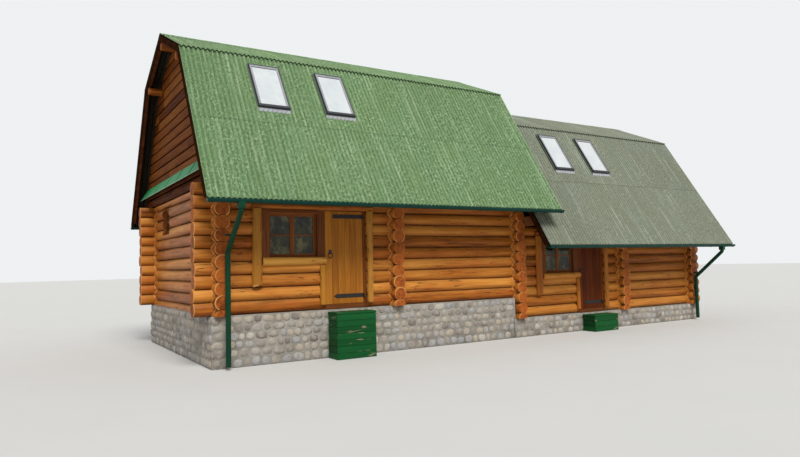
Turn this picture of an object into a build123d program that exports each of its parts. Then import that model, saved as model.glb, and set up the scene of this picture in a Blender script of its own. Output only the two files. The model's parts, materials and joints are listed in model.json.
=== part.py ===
from build123d import *
import os
from math import atan2, cos, degrees, sin, sqrt, tan

# Log cabin in two stepped sections under gambrel roofs, in millimetres.
# +X runs along the front from the higher left section to the lower right one,
# +Y runs from the front to the rear and +Z is up. The origin lies at the foot
# of the stone plinth, under the middle of the party wall between the sections.

# Plan, measured between the axes of the log walls
bay_a = 3830            # first bay of each section, with the window and the door
bay_b_left = 3520       # second bay of the left section
bay_b_right = 3100      # second bay of the right section
wall_span = 5440        # front wall to rear wall

# Logs
log_d = 285
log_pitch = 250         # height of one course
courses_left = 10
courses_right = 9
base_left = 970         # top of the plinth under the left section
base_step = 2           # courses that the right section starts lower
seat = 0.3              # clearance of every scribed or sawn seat
log_end = 320           # cross wall logs run past the front and rear walls

# Roof form of the left section, outer faces of the sheets
eave_over = 1220        # wall axis to eave edge
eave_z = 3070
knee_in = 2090          # eave edge to knee, level
knee_up = 3300
ridge_up = 4120
roof_drop = 776         # the right roof is this much lower
eave_drop = 840
verge_over = 520        # roofs run this far past the axes of the end walls and the party wall

# Roof pieces
sheet_t = 40
knee_lap = 70           # upper sheets overhang the lower ones
rafter_w = 60
rafter_d = 150
rafter_pitch = 1190
rafter_foot = 90        # rafters stop this far short of the eave edge
joist_d = 200
deck_t = 30
purlin_d = 170
purlin_in = 370         # axis of a knee purlin from the knee
gable_t = 50
barge_t = 25
barge_d = 130
pent_h = 280
pent_up = 300           # top of the flashing above the attic boards
pent_t = 4
pent_out = 160
ridge_wing = 190
ridge_t = 5

# Plinth and floors
plinth_w = 400
floor_t = 80
step_down = 40          # door steps end this far below the plinth's top

# Doors, measured from the first wall axis of the section and from its logs' base
door_x = 2170
door_w = 870
door_h = 1920
door_t = 45
door_sill = 100
door_clear = 5
door_in = 5             # leaf's face behind the face of its frame
jamb_w = 70
frame_depth = 200

# Front window, measured the same way
window_x = 950
window_w = 1050
window_sill = 1080
window_h = 880
window_bar = 60
window_depth = 90
glass_t = 6
putty = 12              # glass edge held in the frame

# Windows in the end walls and in the rear wall
end_window_y = 910      # from the middle of the end wall to the near edge
end_window_w = 800
end_window_sill = 1730
end_window_h = 640
rear_window_x = 1400

# Roof windows in the lower front slopes
roof_window_w = 660
roof_window_h = 1200
roof_window_below_knee = 350
roof_window_first_left = 830
roof_window_step_left = 1490
roof_window_first_right = 1620
roof_window_step_right = 1410
roof_window_bar = 55
roof_window_up = 60     # frame stands proud of the sheets
roof_glass_up = 20
flash_w = 90
flash_t = 6

# Peeled poles that trim the door and window, with flat backs on the logs
pole_r = 100
sill_pole_r = 85
pole_gap = 140          # post left of the window
pole_foot = 450         # post runs on below the axis of the sill pole

# Gutters and downspouts
gutter_r = 62
gutter_t = 4
gutter_in = 10          # middle of the gutter behind the eave edge
bracket_w = 30
outlet_w = 120          # box at the gutter's outlet
outlet_h = 90
spout_r = 48
spout_t = 3
spout_x = 70            # pipe from the axis of the end wall
spout_gap = 20          # pipe to the ends of the logs
spout_fall = 0.85       # fall of the slanting run for its length on plan
spout_foot = 60
spout_drop = 40         # straight length below the outlet box
clip_w = 24
clip_h = 30
clip_t = 4

# Ironwork of the doors
strap_w = 60
strap_t = 6
strap_len = 700
strap_low = 160         # strap centres from the leaf's bottom and top edges
strap_high = 110
pin_r = 8
pin_gap = 0.3
eye_t = 6
eye_clear = 1
ring_r = 50
ring_bar = 7
ring_height = 1000
ring_in = 110           # ring centre from the leaf's free edge
ring_out = 14           # ring centre in front of the leaf
rose_r = 28
rose_t = 5
staple_r = 9
staple_out = 22
strap_taper = 60
pin_plate = 45
pin_low = 12            # pintle below and above the strap's eye
pin_high = 8

# Door steps
step_w = 900
step_depth = 420

# Values that follow from the sizes above
log_r = log_d / 2
wall_y = wall_span / 2
roof_depth = wall_span + 2 * eave_over
base_right = base_left - base_step * log_pitch
slope_low = atan2(knee_up, knee_in)
slope_high = atan2(ridge_up - knee_up, roof_depth / 2 - knee_in)


class Section:
    """Sizes and places of one section of the cabin."""

    def __init__(self, first_axis, bays, base, courses, drop, eave_low, roof_windows):
        self.axes = [first_axis, first_axis + bays[0], first_axis + bays[0] + bays[1]]
        self.base = base
        self.courses = courses
        self.top = base + courses * log_pitch
        self.knee = (-(roof_depth / 2 - knee_in), eave_z + knee_up - drop)
        self.ridge = (0, eave_z + ridge_up - drop)
        self.eave_z = eave_z - eave_low
        self.eave_y = self.knee[0] - (self.knee[1] - self.eave_z) / tan(slope_low)
        self.roof_window_x = [first_axis + roof_windows[0],
                              first_axis + roof_windows[0] + roof_windows[1]]

    def low_y(self, z, depth):
        """Y of the front lower slope at height z, this deep below its outer face."""
        return self.knee[0] - (self.knee[1] - z) / tan(slope_low) + depth / sin(slope_low)

    def high_z(self, y, depth):
        """Z of the front upper slope at this y, this deep below its outer face."""
        return self.ridge[1] + y * tan(slope_high) - depth / cos(slope_high)

    def knee_at(self, depth):
        """Where both slopes meet when each is taken this deep below its outer face."""
        low, high = tan(slope_low), tan(slope_high)
        low_0 = self.knee[1] - self.knee[0] * low - depth / cos(slope_low)
        high_0 = self.ridge[1] - depth / cos(slope_high)
        y = (high_0 - low_0) / (low - high)
        return (y, high_0 + y * high)


left = Section(-bay_a - bay_b_left, (bay_a, bay_b_left), base_left, courses_left, 0, 0,
               (roof_window_first_left, roof_window_step_left))
right = Section(0, (bay_a, bay_b_right), base_right, courses_right, roof_drop, eave_drop,
                (roof_window_first_right, roof_window_step_right))
verge_left = left.axes[0] - verge_over
verge_right = right.axes[2] + verge_over
gable_left_x = left.axes[0] - log_r - gable_t       # outer faces of the end gables
gable_right_x = right.axes[2] + log_r + gable_t


def block(x0, x1, y0, y1, z0, z1):
    return Pos((x0 + x1) / 2, (y0 + y1) / 2, (z0 + z1) / 2) * Box(x1 - x0, y1 - y0, z1 - z0)


def round_x(x0, x1, y, z, r):
    return Pos((x0 + x1) / 2, y, z) * Rot(0, 90, 0) * Cylinder(r, x1 - x0)


def round_y(y0, y1, x, z, r):
    return Pos(x, (y0 + y1) / 2, z) * Rot(90, 0, 0) * Cylinder(r, y1 - y0)


def round_z(z0, z1, x, y, r):
    return Pos(x, y, (z0 + z1) / 2) * Cylinder(r, z1 - z0)


def prism_x(points, x0, x1):
    """Solid of this outline in the YZ plane, from x0 to x1."""
    face = Plane.YZ * make_face(Polyline(*points, close=True).edges())
    return Pos(x0, 0, 0) * extrude(face, amount=x1 - x0)


def mirrored(solids):
    """The same pieces on the rear side."""
    return [mirror(solid, about=Plane.XZ) for solid in solids]


def save(name, solids):
    """One file for one sub-part, from solids that stay apart."""
    flat = []
    for solid in solids:
        flat += list(solid.solids())
    for solid in flat:
        solid.label = name
    export_step(Compound(children=flat, label=name), f"parts/{name}.step")


# Logs
# Wall logs along X have their centres half a course above those along Y, so
# each log is scribed over the log below it and saddle-notched over crossings.

def log_profile(grooved, flat_low, flat_high):
    """Round section about its centre, scribed over the log below or sawn flat."""
    section = Circle(log_r)
    if grooved:
        section -= Pos(0, -log_pitch) * Circle(log_r + seat)
    if flat_low is not None:
        section -= Pos(0, flat_low - log_d) * Rectangle(2 * log_d, 2 * log_d)
    if flat_high is not None:
        section -= Pos(0, flat_high + log_d) * Rectangle(2 * log_d, 2 * log_d)
    return section


def stack(plane_at, length, centres, base, top, notches, openings):
    """Logs of one wall, lowest first, less their saddle notches and the openings."""
    logs = []
    for z in centres:
        flat_low = base - z if z - log_r < base else None
        flat_high = top - z if z + log_r > top else None
        profile = log_profile(bool(logs), flat_low, flat_high)
        log = extrude(plane_at(z) * profile, amount=length)
        box = log.bounding_box()
        cutters = [cutter for cutter in notches(z) + openings if meets(box, cutter.bounding_box())]
        logs.append(log - cutters if cutters else log)
    return logs


def meets(a, b):
    return (a.min.X < b.max.X and b.min.X < a.max.X and a.min.Y < b.max.Y
            and b.min.Y < a.max.Y and a.min.Z < b.max.Z and b.min.Z < a.max.Z)


def wall_along_x(x0, x1, y, base, courses, crossings, openings, top):
    """Logs over the walls whose axes are the crossings."""
    def notches(z):
        return [round_y(y - log_d, y + log_d, x, z - log_pitch / 2, log_r + seat) for x in crossings]

    centres = [base + (course + 0.5) * log_pitch for course in range(courses)]
    return stack(lambda z: Plane((x0, y, z), x_dir=(0, 1, 0), z_dir=(1, 0, 0)), x1 - x0, centres,
                 base, top, notches, openings)


def wall_along_y(x, base, courses, openings, top):
    """Logs from before the front wall to behind the rear wall; the outer two are halved."""
    def notches(z):
        if z < base + log_pitch / 2:
            return []
        return [round_x(x - log_d, x + log_d, y, z - log_pitch / 2, log_r + seat)
                for y in (-wall_y, wall_y)]

    centres = [base + course * log_pitch for course in range(courses + 1)]
    y0 = -wall_y - log_end
    return stack(lambda z: Plane((x, y0, z), x_dir=(-1, 0, 0), z_dir=(0, 1, 0)), -2 * y0, centres,
                 base, top, notches, openings)


def door_cut(section):
    """Doorway through the front wall, with its frame's outer size."""
    x = section.axes[0] + door_x
    return block(x - jamb_w - seat, x + door_w + jamb_w + seat, -wall_y - log_d, -wall_y + log_d,
                 section.base, section.base + door_sill + door_h + jamb_w + seat)


def window_cut(section):
    """Opening for the front window, joined to the doorway beside it."""
    x = section.axes[0]
    return block(x + window_x - seat, x + door_x - jamb_w, -wall_y - log_d, -wall_y + log_d,
                 section.base + window_sill - seat, section.base + window_sill + window_h + seat)


def rear_cut(section):
    x = section.axes[0] + rear_window_x
    return block(x - seat, x + window_w + seat, wall_y - log_d, wall_y + log_d,
                 section.base + window_sill - seat, section.base + window_sill + window_h + seat)


def end_cut(x, base):
    return block(x - log_d, x + log_d, end_window_y - seat, end_window_y + end_window_w + seat,
                 base + end_window_sill - seat, base + end_window_sill + end_window_h + seat)


def cross_cut(section):
    """Plain doorway between the two rooms of a section."""
    x = section.axes[1]
    return block(x - log_d, x + log_d, -door_w / 2, door_w / 2, section.base,
                 section.base + door_sill + door_h)


# Roof pieces

def sheet_pair(section, x0, x1, holes):
    """Lower and upper sheets of the front slopes; the upper ones lap over the knee."""
    under = sheet_t + seat
    low, high = tan(slope_low), tan(slope_high)
    high_0 = section.ridge[1] - under / cos(slope_high)

    def meet(depth):
        low_0 = section.knee[1] - section.knee[0] * low - depth / cos(slope_low)
        y = (high_0 - low_0) / (low - high)
        return (y, high_0 + y * high)

    eave = (section.eave_y, section.eave_z)
    eave_in = (section.eave_y + sheet_t * sin(slope_low), section.eave_z - sheet_t * cos(slope_low))
    lower = prism_x([eave, meet(0), meet(sheet_t), eave_in], x0, x1)
    for hole in holes:
        lower -= hole
    tip_y = section.knee[0] - knee_lap * cos(slope_high)
    back = sheet_t * sin(slope_high)
    upper = prism_x([(tip_y, section.high_z(tip_y, 0)), (-seat / 2, section.high_z(-seat / 2, 0)),
                     (-seat / 2, section.high_z(-seat / 2, sheet_t)),
                     (tip_y + back, section.high_z(tip_y + back, sheet_t))], x0, x1)
    return [lower, upper]


def band(section, depth, thick, foot):
    """Outlines of a lower and an upper board below the sheets, mitred at the knee."""
    low_z = section.eave_z + foot * sin(slope_low)
    outer, inner = section.knee_at(depth), section.knee_at(depth + thick)
    lower = [(section.low_y(low_z, depth), low_z), outer, inner,
             (section.low_y(low_z, depth + thick), low_z)]
    upper = [(outer[0] + seat, outer[1] + seat * tan(slope_high)),
             (-seat / 2, section.high_z(-seat / 2, depth)),
             (-seat / 2, section.high_z(-seat / 2, depth + thick)),
             (inner[0] + seat, inner[1] + seat * tan(slope_high))]
    return lower, upper


def gable_outline(section, foot):
    """Gambrel outline under the sheets, down to this height."""
    depth = sheet_t + seat
    half = [(section.low_y(foot, depth), foot), section.knee_at(depth)]
    peak = (0, section.high_z(0, depth))
    return half + [peak] + [(-y, z) for y, z in reversed(half)]


def rafter_places(section, x_first, x_last):
    """Frames at both ends and at a regular pitch that keeps clear of the roof windows."""
    anchor = section.roof_window_x[0] - rafter_w * 1.5
    places = [x_first]
    x = anchor - int((anchor - x_first) / rafter_pitch) * rafter_pitch
    while x < x_last - rafter_pitch / 2:
        if x > x_first + rafter_pitch / 4:
            places.append(x)
        x += rafter_pitch
    return places + [x_last - rafter_w]


def roof_window_box(section, x, depth0, depth1, grow):
    """Block square to the lower slope at a roof window, between two depths."""
    y, z = section.knee
    drop = roof_window_below_knee + roof_window_h / 2
    height = roof_window_h + 2 * grow
    centre = (y - drop * cos(slope_low) + (depth0 + depth1) / 2 * sin(slope_low),
              z - drop * sin(slope_low) - (depth0 + depth1) / 2 * cos(slope_low))
    return (Pos(x + roof_window_w / 2, centre[0], centre[1]) * Rot(degrees(slope_low), 0, 0)
            * Box(roof_window_w + 2 * grow, height, abs(depth1 - depth0)))


def purlins(section, x0, x1, grow):
    """Ridge purlin and the two knee purlins, under the upper rafters."""
    depth = sheet_t + rafter_d + 2 * seat
    half = purlin_d / 2
    y = section.knee[0] + purlin_in
    z = section.high_z(y, depth + half)
    peak = section.high_z(0, depth + half)
    return [round_x(x0, x1, *place, half + grow) for place in ((0, peak), (y, z), (-y, z))]


# Windows

def window(x0, x1, z0, z1, y, glass):
    """Frame with a middle post, or its panes, in a wall along X."""
    mid = (x0 + x1) / 2
    halves = [(x0 + window_bar, mid - window_bar / 2), (mid + window_bar / 2, x1 - window_bar)]
    if glass:
        return [block(a - putty, b + putty, y - glass_t / 2, y + glass_t / 2,
                      z0 + window_bar - putty, z1 - window_bar + putty) for a, b in halves]
    frame = block(x0, x1, y - window_depth / 2, y + window_depth / 2, z0, z1)
    for a, b in halves:
        frame -= block(a, b, y - window_depth, y + window_depth, z0 + window_bar, z1 - window_bar)
        frame -= block(a - putty - seat, b + putty + seat, y - glass_t / 2 - seat, y + glass_t / 2 + seat,
                       z0 + window_bar - putty - seat, z1 - window_bar + putty + seat)
    return [frame]


def turned(solids, x, y):
    """Pieces made about the origin along X, turned to stand in a wall along Y."""
    return [Pos(x, y, 0) * Rot(0, 0, 90) * solid for solid in solids]


def windows(glass):
    """All wall windows: front and rear of each section, and both end walls."""
    pieces = []
    for section in (left, right):
        z0 = section.base + window_sill
        x = section.axes[0]
        pieces += window(x + window_x, x + window_x + window_w, z0, z0 + window_h, -wall_y, glass)
        x += rear_window_x
        pieces += window(x, x + window_w, z0, z0 + window_h, wall_y, glass)
    for x, base in ((left.axes[0], base_left), (right.axes[2], base_right)):
        z0 = base + end_window_sill
        half = end_window_w / 2
        pieces += turned(window(-half, half, z0, z0 + end_window_h, 0, glass), x, end_window_y + half)
    return pieces


# Doors

def door_frame(section):
    """Jambs, head and threshold round the leaf."""
    x0 = section.axes[0] + door_x - door_clear
    x1 = x0 + door_w + 2 * door_clear
    z0 = section.base + seat
    z1 = section.base + door_sill + door_h + door_clear
    y0, y1 = -wall_y - frame_depth / 2, -wall_y + frame_depth / 2
    frame = block(x0 - jamb_w + door_clear, x1 + jamb_w - door_clear, y0, y1, z0, z1 + jamb_w - door_clear)
    return [frame - block(x0, x1, y0 - 1, y1 + 1, section.base + door_sill - door_clear, z1)]


def leaf(section):
    x0 = section.axes[0] + door_x
    z0 = section.base + door_sill
    y0 = leaf_front(section)
    return [block(x0, x0 + door_w, y0, y0 + door_t, z0, z0 + door_h)]


def door_pins(section):
    """Pintles on the frame, under and through the eyes of both straps."""
    x, y = hinge_line(section)
    pieces = []
    for z in strap_places(section):
        foot_z = z - strap_w / 2 - pin_low
        pin = round_z(foot_z, z + strap_w / 2 + pin_high, x, y, pin_r)
        plate_y = -wall_y - frame_depth / 2 - seat
        foot = block(x - pin_r, x + pin_plate, y - pin_r, plate_y, foot_z - pin_r, foot_z + pin_r)
        pieces.append(pin + foot)
    return pieces


def hinge_line(section):
    """Axis of the pintles, in front of the leaf's right edge."""
    x = section.axes[0] + door_x + door_w + door_clear / 2
    return x, -wall_y - frame_depth / 2 - pin_r - eye_t - pin_gap - eye_clear


def strap_places(section):
    foot = section.base + door_sill
    return [foot + strap_low, foot + door_h - strap_high]


def door_straps(section):
    """Straps across the leaf, each with an eye round its pintle and a pointed tip."""
    x, y = hinge_line(section)
    back = leaf_front(section) - seat
    outer = pin_r + pin_gap + eye_t
    pieces = []
    for z in strap_places(section):
        tip = x - strap_len
        neck = tip + strap_taper
        bar = Polyline((x, z - strap_w / 2), (neck, z - strap_w / 4), (tip, z),
                       (neck, z + strap_w / 4), (x, z + strap_w / 2), close=True)
        face = Plane((0, back, 0), x_dir=(1, 0, 0), z_dir=(0, -1, 0)) * make_face(bar.edges())
        strap = extrude(face, amount=strap_t)
        web = block(x - outer, x, y, back, z - strap_w / 2, z + strap_w / 2)
        eye = round_z(z - strap_w / 2, z + strap_w / 2, x, y, outer)
        hole = round_z(z - strap_w, z + strap_w, x, y, pin_r + pin_gap)
        pieces.append(strap + web + eye - hole)
    return pieces


def leaf_front(section):
    return -wall_y - frame_depth / 2 + door_in


def door_ring(section):
    """Ring on a round rose, on the free side of the leaf."""
    x = section.axes[0] + door_x + ring_in
    z = section.base + door_sill + ring_height
    front = leaf_front(section) - seat
    rose = round_y(front - rose_t, front, x, z + ring_r, rose_r)
    staple = round_y(front - staple_out, front - rose_t, x, z + ring_r, staple_r)
    ring = Pos(x, front - ring_out, z) * Rot(90, 0, 0) * Torus(ring_r, ring_bar)
    return [rose + staple + ring]


def poles(section):
    """Peeled poles, flat at the back: post left of the window, sill, header and door post."""
    x0 = section.axes[0]
    back = -wall_y - log_r - seat
    floor_z = section.base + door_sill
    head_z = section.base + door_sill + door_h
    half = block(verge_left * 2, verge_right * 2, back, 0, -log_d, section.top + log_d * 4)
    left_x = x0 + window_x - pole_r - pole_gap
    right_x = x0 + door_x + door_w + jamb_w + pole_r
    sill_z = section.base + window_sill - sill_pole_r
    pieces = [round_z(sill_z - pole_foot, head_z, left_x, back, pole_r),
              round_x(left_x + pole_r + seat, x0 + door_x - jamb_w, back, sill_z, sill_pole_r),
              round_z(floor_z, head_z, right_x, back, pole_r),
              round_x(left_x - pole_r, right_x + pole_r, back, head_z + sill_pole_r + seat, sill_pole_r)]
    return [piece - half for piece in pieces]


# Roof edges

def barge_boards(section, x0):
    """Four boards along one verge, under the sheets."""
    lower, upper = band(section, sheet_t + seat, barge_d, 0)
    boards = [prism_x(lower, x0, x0 + barge_t), prism_x(upper, x0, x0 + barge_t)]
    return boards + mirrored(boards)


def pent_strip(section, x, outward):
    """Sheet flashing at the foot of an outer gable, leaning outward at its lower edge."""
    z1 = section.top + joist_d + deck_t + pent_up
    z0 = z1 - pent_h
    lean = outward * pent_out
    strip = Polyline((x, z1), (x + lean, z0), (x + lean + outward * pent_t, z0),
                     (x + outward * pent_t, z1), close=True)
    sheet = extrude(Plane.XZ * make_face(strip.edges()), amount=wall_span, both=True)
    ends = [(section.low_y(z, sheet_t + seat), z) for z in (z0 - 1, z1 + 1)]
    trim = prism_x(ends + [(-y, z) for y, z in reversed(ends)], x - 2 * pent_out, x + 2 * pent_out)
    return [sheet & trim]


def gutter_line(section):
    """Y and Z of the middle of the gutter's open top."""
    return section.eave_y + gutter_in, section.eave_z - sheet_t * cos(slope_low) - gutter_t


def gutter(section, x0, x1):
    """Half-round channel under the front eave, closed at both ends."""
    y, z = gutter_line(section)
    shape = round_x(x0, x1, y, z, gutter_r) - block(x0, x1, y - gutter_r, y + gutter_r, z, z + gutter_r)
    channel = round_x(x0 + gutter_t, x1 - gutter_t, y, z, gutter_r - gutter_t)
    return shape - channel


def gutter_bracket(section, x):
    """Cradle under the gutter with an arm up to the foot of a rafter."""
    y, z = gutter_line(section)
    x0, x1 = x + (rafter_w - bracket_w) / 2, x + (rafter_w + bracket_w) / 2
    outer = gutter_r + seat + gutter_t
    foot_z = section.eave_z + rafter_foot * sin(slope_low) - seat
    arm_y = section.low_y(foot_z, sheet_t + gutter_t)
    cradle = round_x(x0, x1, y, z, outer) - block(x0, x1, y - outer, y + outer, z, z + outer)
    link = block(x0, x1, y, arm_y + gutter_t, z - gutter_t, z)
    arm = block(x0, x1, arm_y, arm_y + gutter_t, z - gutter_t, foot_z)
    foot_y = section.low_y(foot_z, sheet_t + rafter_d)
    plate = block(x0, x1, arm_y, foot_y, foot_z - gutter_t, foot_z)
    return cradle + link + arm + plate - round_x(x0, x1, y, z, gutter_r + seat)


def downspout(section, x):
    """Outlet box below the gutter, a slanting run back to the wall and a straight fall."""
    y, z = gutter_line(section)
    wall = -wall_y - log_end - spout_r - spout_gap
    bottom = z - gutter_r - outlet_h
    outlet = block(x - outlet_w / 2, x + outlet_w / 2, y - outlet_w / 2, y + outlet_w / 2,
                   bottom, z - gutter_r / 2)
    bend = bottom - spout_drop
    points = [(x, y, bottom + outlet_h / 2), (x, y, bend),
              (x, wall, bend - abs(wall - y) * spout_fall), (x, wall, spout_foot)]
    path = FilletPolyline(*points, radius=spout_r * 1.2)
    start = Plane(path @ 0, z_dir=path % 0)
    pipe = outlet + sweep(start * Circle(spout_r), path=path)
    for z_clip in (section.base + log_pitch, section.base + (section.courses // 2 + 1) * log_pitch):
        low, high = z_clip - clip_h / 2, z_clip + clip_h / 2
        pipe += block(x - clip_w / 2, x + clip_w / 2, wall, -wall_y - log_end - seat, low, high)
        pipe += round_z(low, high, x, wall, spout_r + clip_t)
    bore = sweep(start * Circle(spout_r - spout_t), path=path)
    cup = round_x(x - outlet_w, x + outlet_w, y, z, gutter_r + seat)
    return [pipe - bore - cup]


# Build

def main():
    os.makedirs("parts", exist_ok=True)
    log_left = verge_left + barge_t
    log_right = verge_right - barge_t
    roof_end_left = verge_over
    roof_start_right = gable_t / 2 + seat

    # Walls
    for side, y, cuts in (("front", -wall_y, lambda s: [door_cut(s), window_cut(s)]),
                          ("rear", wall_y, lambda s: [rear_cut(s)])):
        save(f"{side}_wall_left", wall_along_x(log_left, -seat, y, base_left, courses_left,
                                               left.axes, cuts(left), left.top))
        save(f"{side}_wall_right", wall_along_x(seat, log_right, y, base_right, courses_right,
                                                right.axes, cuts(right), right.top))
    save("left_end_wall", wall_along_y(left.axes[0], base_left, courses_left,
                                       [end_cut(left.axes[0], base_left)], left.top))
    save("cross_wall_left", wall_along_y(left.axes[1], base_left, courses_left, [cross_cut(left)],
                                         left.top))
    save("party_wall", wall_along_y(0, base_right, courses_left + base_step, [], left.top))
    save("cross_wall_right", wall_along_y(right.axes[1], base_right, courses_right,
                                          [cross_cut(right)], right.top))
    save("right_end_wall", wall_along_y(right.axes[2], base_right, courses_right,
                                        [end_cut(right.axes[2], base_right)], right.top))

    # Plinths
    for name, section, x0, x1 in (("left", left, left.axes[0] - plinth_w / 2, -plinth_w / 2 - seat),
                                  ("right", right, -plinth_w / 2, right.axes[2] + plinth_w / 2)):
        y0 = wall_y + plinth_w / 2
        walls = block(x0, x1, -y0, y0, 0, section.base)
        inner = y0 - plinth_w
        edges = [x0 + plinth_w, section.axes[1] - plinth_w / 2, section.axes[1] + plinth_w / 2,
                 x1 - plinth_w if name == "right" else x1]
        for a, b in (edges[:2], edges[2:]):
            walls -= block(a, b, -inner, inner, -1, section.base + 1)
        if name == "left":
            for y in (-wall_y, wall_y):
                walls += block(-plinth_w / 2 - seat, -log_r - seat, y - plinth_w / 2, y + plinth_w / 2,
                               base_right + seat, base_left)
        save(f"plinth_{name}", [Pos(0, 0, 0) * walls])

    # Floors
    floors = []
    for section in (left, right):
        for a, b in ((0, 1), (1, 2)):
            floors.append(block(section.axes[a] + log_r + seat, section.axes[b] - log_r - seat,
                                -wall_y + log_r + seat, wall_y - log_r - seat,
                                section.base + seat, section.base + floor_t))
    save("floor_boards", floors)

    joists, boards, rafters, beams, brackets = [], [], [], [], []
    edge = barge_t + seat
    for section, x0, x1, beam_ends, fly in (
            (left, gable_left_x + gable_t + seat, -gable_t / 2 - seat,
             (verge_left + edge, roof_end_left - edge),
             [verge_left + edge, roof_end_left - edge - rafter_w]),
            (right, log_r + seat, gable_right_x - gable_t - seat,
             (log_r + seat, verge_right - edge), [verge_right - edge - rafter_w])):
        depth = sheet_t + seat
        inner = depth + rafter_d
        z0, z1 = section.top + seat, section.top + joist_d
        lower, upper = band(section, depth, rafter_d, rafter_foot)
        for x in rafter_places(section, x0, x1):
            ends = [(section.low_y(z0, inner) + seat, z0), (section.low_y(z1, inner) + seat, z1)]
            joists.append(prism_x(ends + [(-y, z) for y, z in reversed(ends)], x, x + rafter_w))
        for x in rafter_places(section, x0, x1) + fly:
            pair = [prism_x(lower, x, x + rafter_w), prism_x(upper, x, x + rafter_w)]
            rafters += pair + mirrored(pair)
            brackets.append(gutter_bracket(section, x))
        y = -section.low_y(z1 + deck_t, inner) - seat
        boards.append(block(x0, x1, -y, y, z1 + seat, z1 + deck_t))
        beams += purlins(section, *beam_ends, 0)
    save("attic_joists", joists)
    save("attic_boards", boards)
    save("rafters", rafters)
    save("purlins", beams)

    # Roof sheets, with the holes for the roof windows
    for name, section, x0, x1 in (("left", left, verge_left, roof_end_left),
                                  ("right", right, roof_start_right, verge_right)):
        holes = [roof_window_box(section, x, -rafter_d, sheet_t * 2, 0) for x in section.roof_window_x]
        save(f"roof_sheets_front_{name}", sheet_pair(section, x0, x1, holes))
        save(f"roof_sheets_rear_{name}", mirrored(sheet_pair(section, x0, x1, [])))

    # Ridge caps
    caps = []
    for section, x0, x1 in ((left, verge_left, roof_end_left), (right, roof_start_right, verge_right)):
        y = ridge_wing * cos(slope_high)
        edge_in, edge_out = (section.high_z(-y, depth) for depth in (-seat, -seat - ridge_t))
        crest_in, crest_out = (section.high_z(0, depth) for depth in (-seat, -seat - ridge_t))
        wing = [(-y, edge_in), (0, crest_in), (y, edge_in), (y, edge_out), (0, crest_out), (-y, edge_out)]
        caps.append(prism_x(wing, x0, x1))
    save("ridge_caps", caps)

    # Gables
    foot_left = left.top + seat
    gable = prism_x(gable_outline(left, foot_left), gable_left_x, gable_left_x + gable_t)
    save("gable_left", [gable - purlins(left, verge_left, left.axes[0], 2 * seat)])
    step = prism_x(gable_outline(left, foot_left), -gable_t / 2, gable_t / 2)
    save("gable_step", [step - purlins(left, -gable_t, gable_t, 2 * seat)])
    gable = prism_x(gable_outline(right, right.top + seat), gable_right_x - gable_t, gable_right_x)
    save("gable_right", [gable - purlins(right, right.axes[2], verge_right, 2 * seat)])
    eave_end = block(0, barge_t * 4, -roof_depth, roof_depth, 0, left.top - log_r - seat)
    save("barge_boards", barge_boards(left, verge_left) + barge_boards(left, roof_end_left - barge_t)
         + barge_boards(right, verge_right - barge_t)
         + [board & eave_end for board in barge_boards(right, roof_start_right)[::2]])
    save("pent_strips", pent_strip(left, gable_left_x - seat, -1)
         + pent_strip(right, gable_right_x + seat, 1))

    # Gutters and downspouts
    gutters = [gutter(left, verge_left, roof_end_left), gutter(right, 0, verge_right)]
    save("gutters", gutters + mirrored(gutters))
    save("gutter_brackets", brackets + mirrored(brackets))
    spouts = downspout(left, left.axes[0] + spout_x) + downspout(right, right.axes[2] - spout_x)
    save("downspouts", spouts + mirrored(spouts))

    # Wall windows
    save("window_frames", windows(False))
    save("window_glass", windows(True))

    # Roof windows
    frames, panes, aprons = [], [], []
    for section in (left, right):
        for x in section.roof_window_x:
            whole = roof_window_box(section, x, -roof_window_up, sheet_t, -seat)
            hole = roof_window_box(section, x, -rafter_d, rafter_d, -roof_window_bar)
            groove = roof_window_box(section, x, -roof_glass_up - seat, -roof_glass_up + glass_t + seat,
                                     seat + putty - roof_window_bar)
            frames.append(whole - hole - groove)
            panes.append(roof_window_box(section, x, -roof_glass_up, -roof_glass_up + glass_t,
                                         putty - roof_window_bar))
            aprons.append(roof_window_box(section, x, -flash_t - seat, -seat, flash_w)
                          - roof_window_box(section, x, -rafter_d, rafter_d, seat))
    save("roof_window_frames", frames)
    save("roof_window_glass", panes)
    save("roof_window_aprons", aprons)

    # Doors
    pins = []
    steps = []
    for name, section in (("left", left), ("right", right)):
        save(f"door_frame_{name}", door_frame(section))
        save(f"door_{name}", leaf(section))
        save(f"door_straps_{name}", door_straps(section))
        save(f"door_ring_{name}", door_ring(section))
        save(f"poles_{name}", poles(section))
        pins += door_pins(section)
        x = section.axes[0] + door_x + door_w / 2
        front = -wall_y - plinth_w / 2 - seat
        top = section.base - step_down
        steps.append(block(x - step_w / 2, x + step_w / 2, front - step_depth, front, 0, top))
    save("door_pins", pins)
    save("door_steps", steps)


if __name__ == "__main__":
    main()
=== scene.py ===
import json
from math import atan2, cos, pi, radians, sin, sqrt

import bmesh
import bpy
import numpy as np
from mathutils import Matrix, Vector

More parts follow.
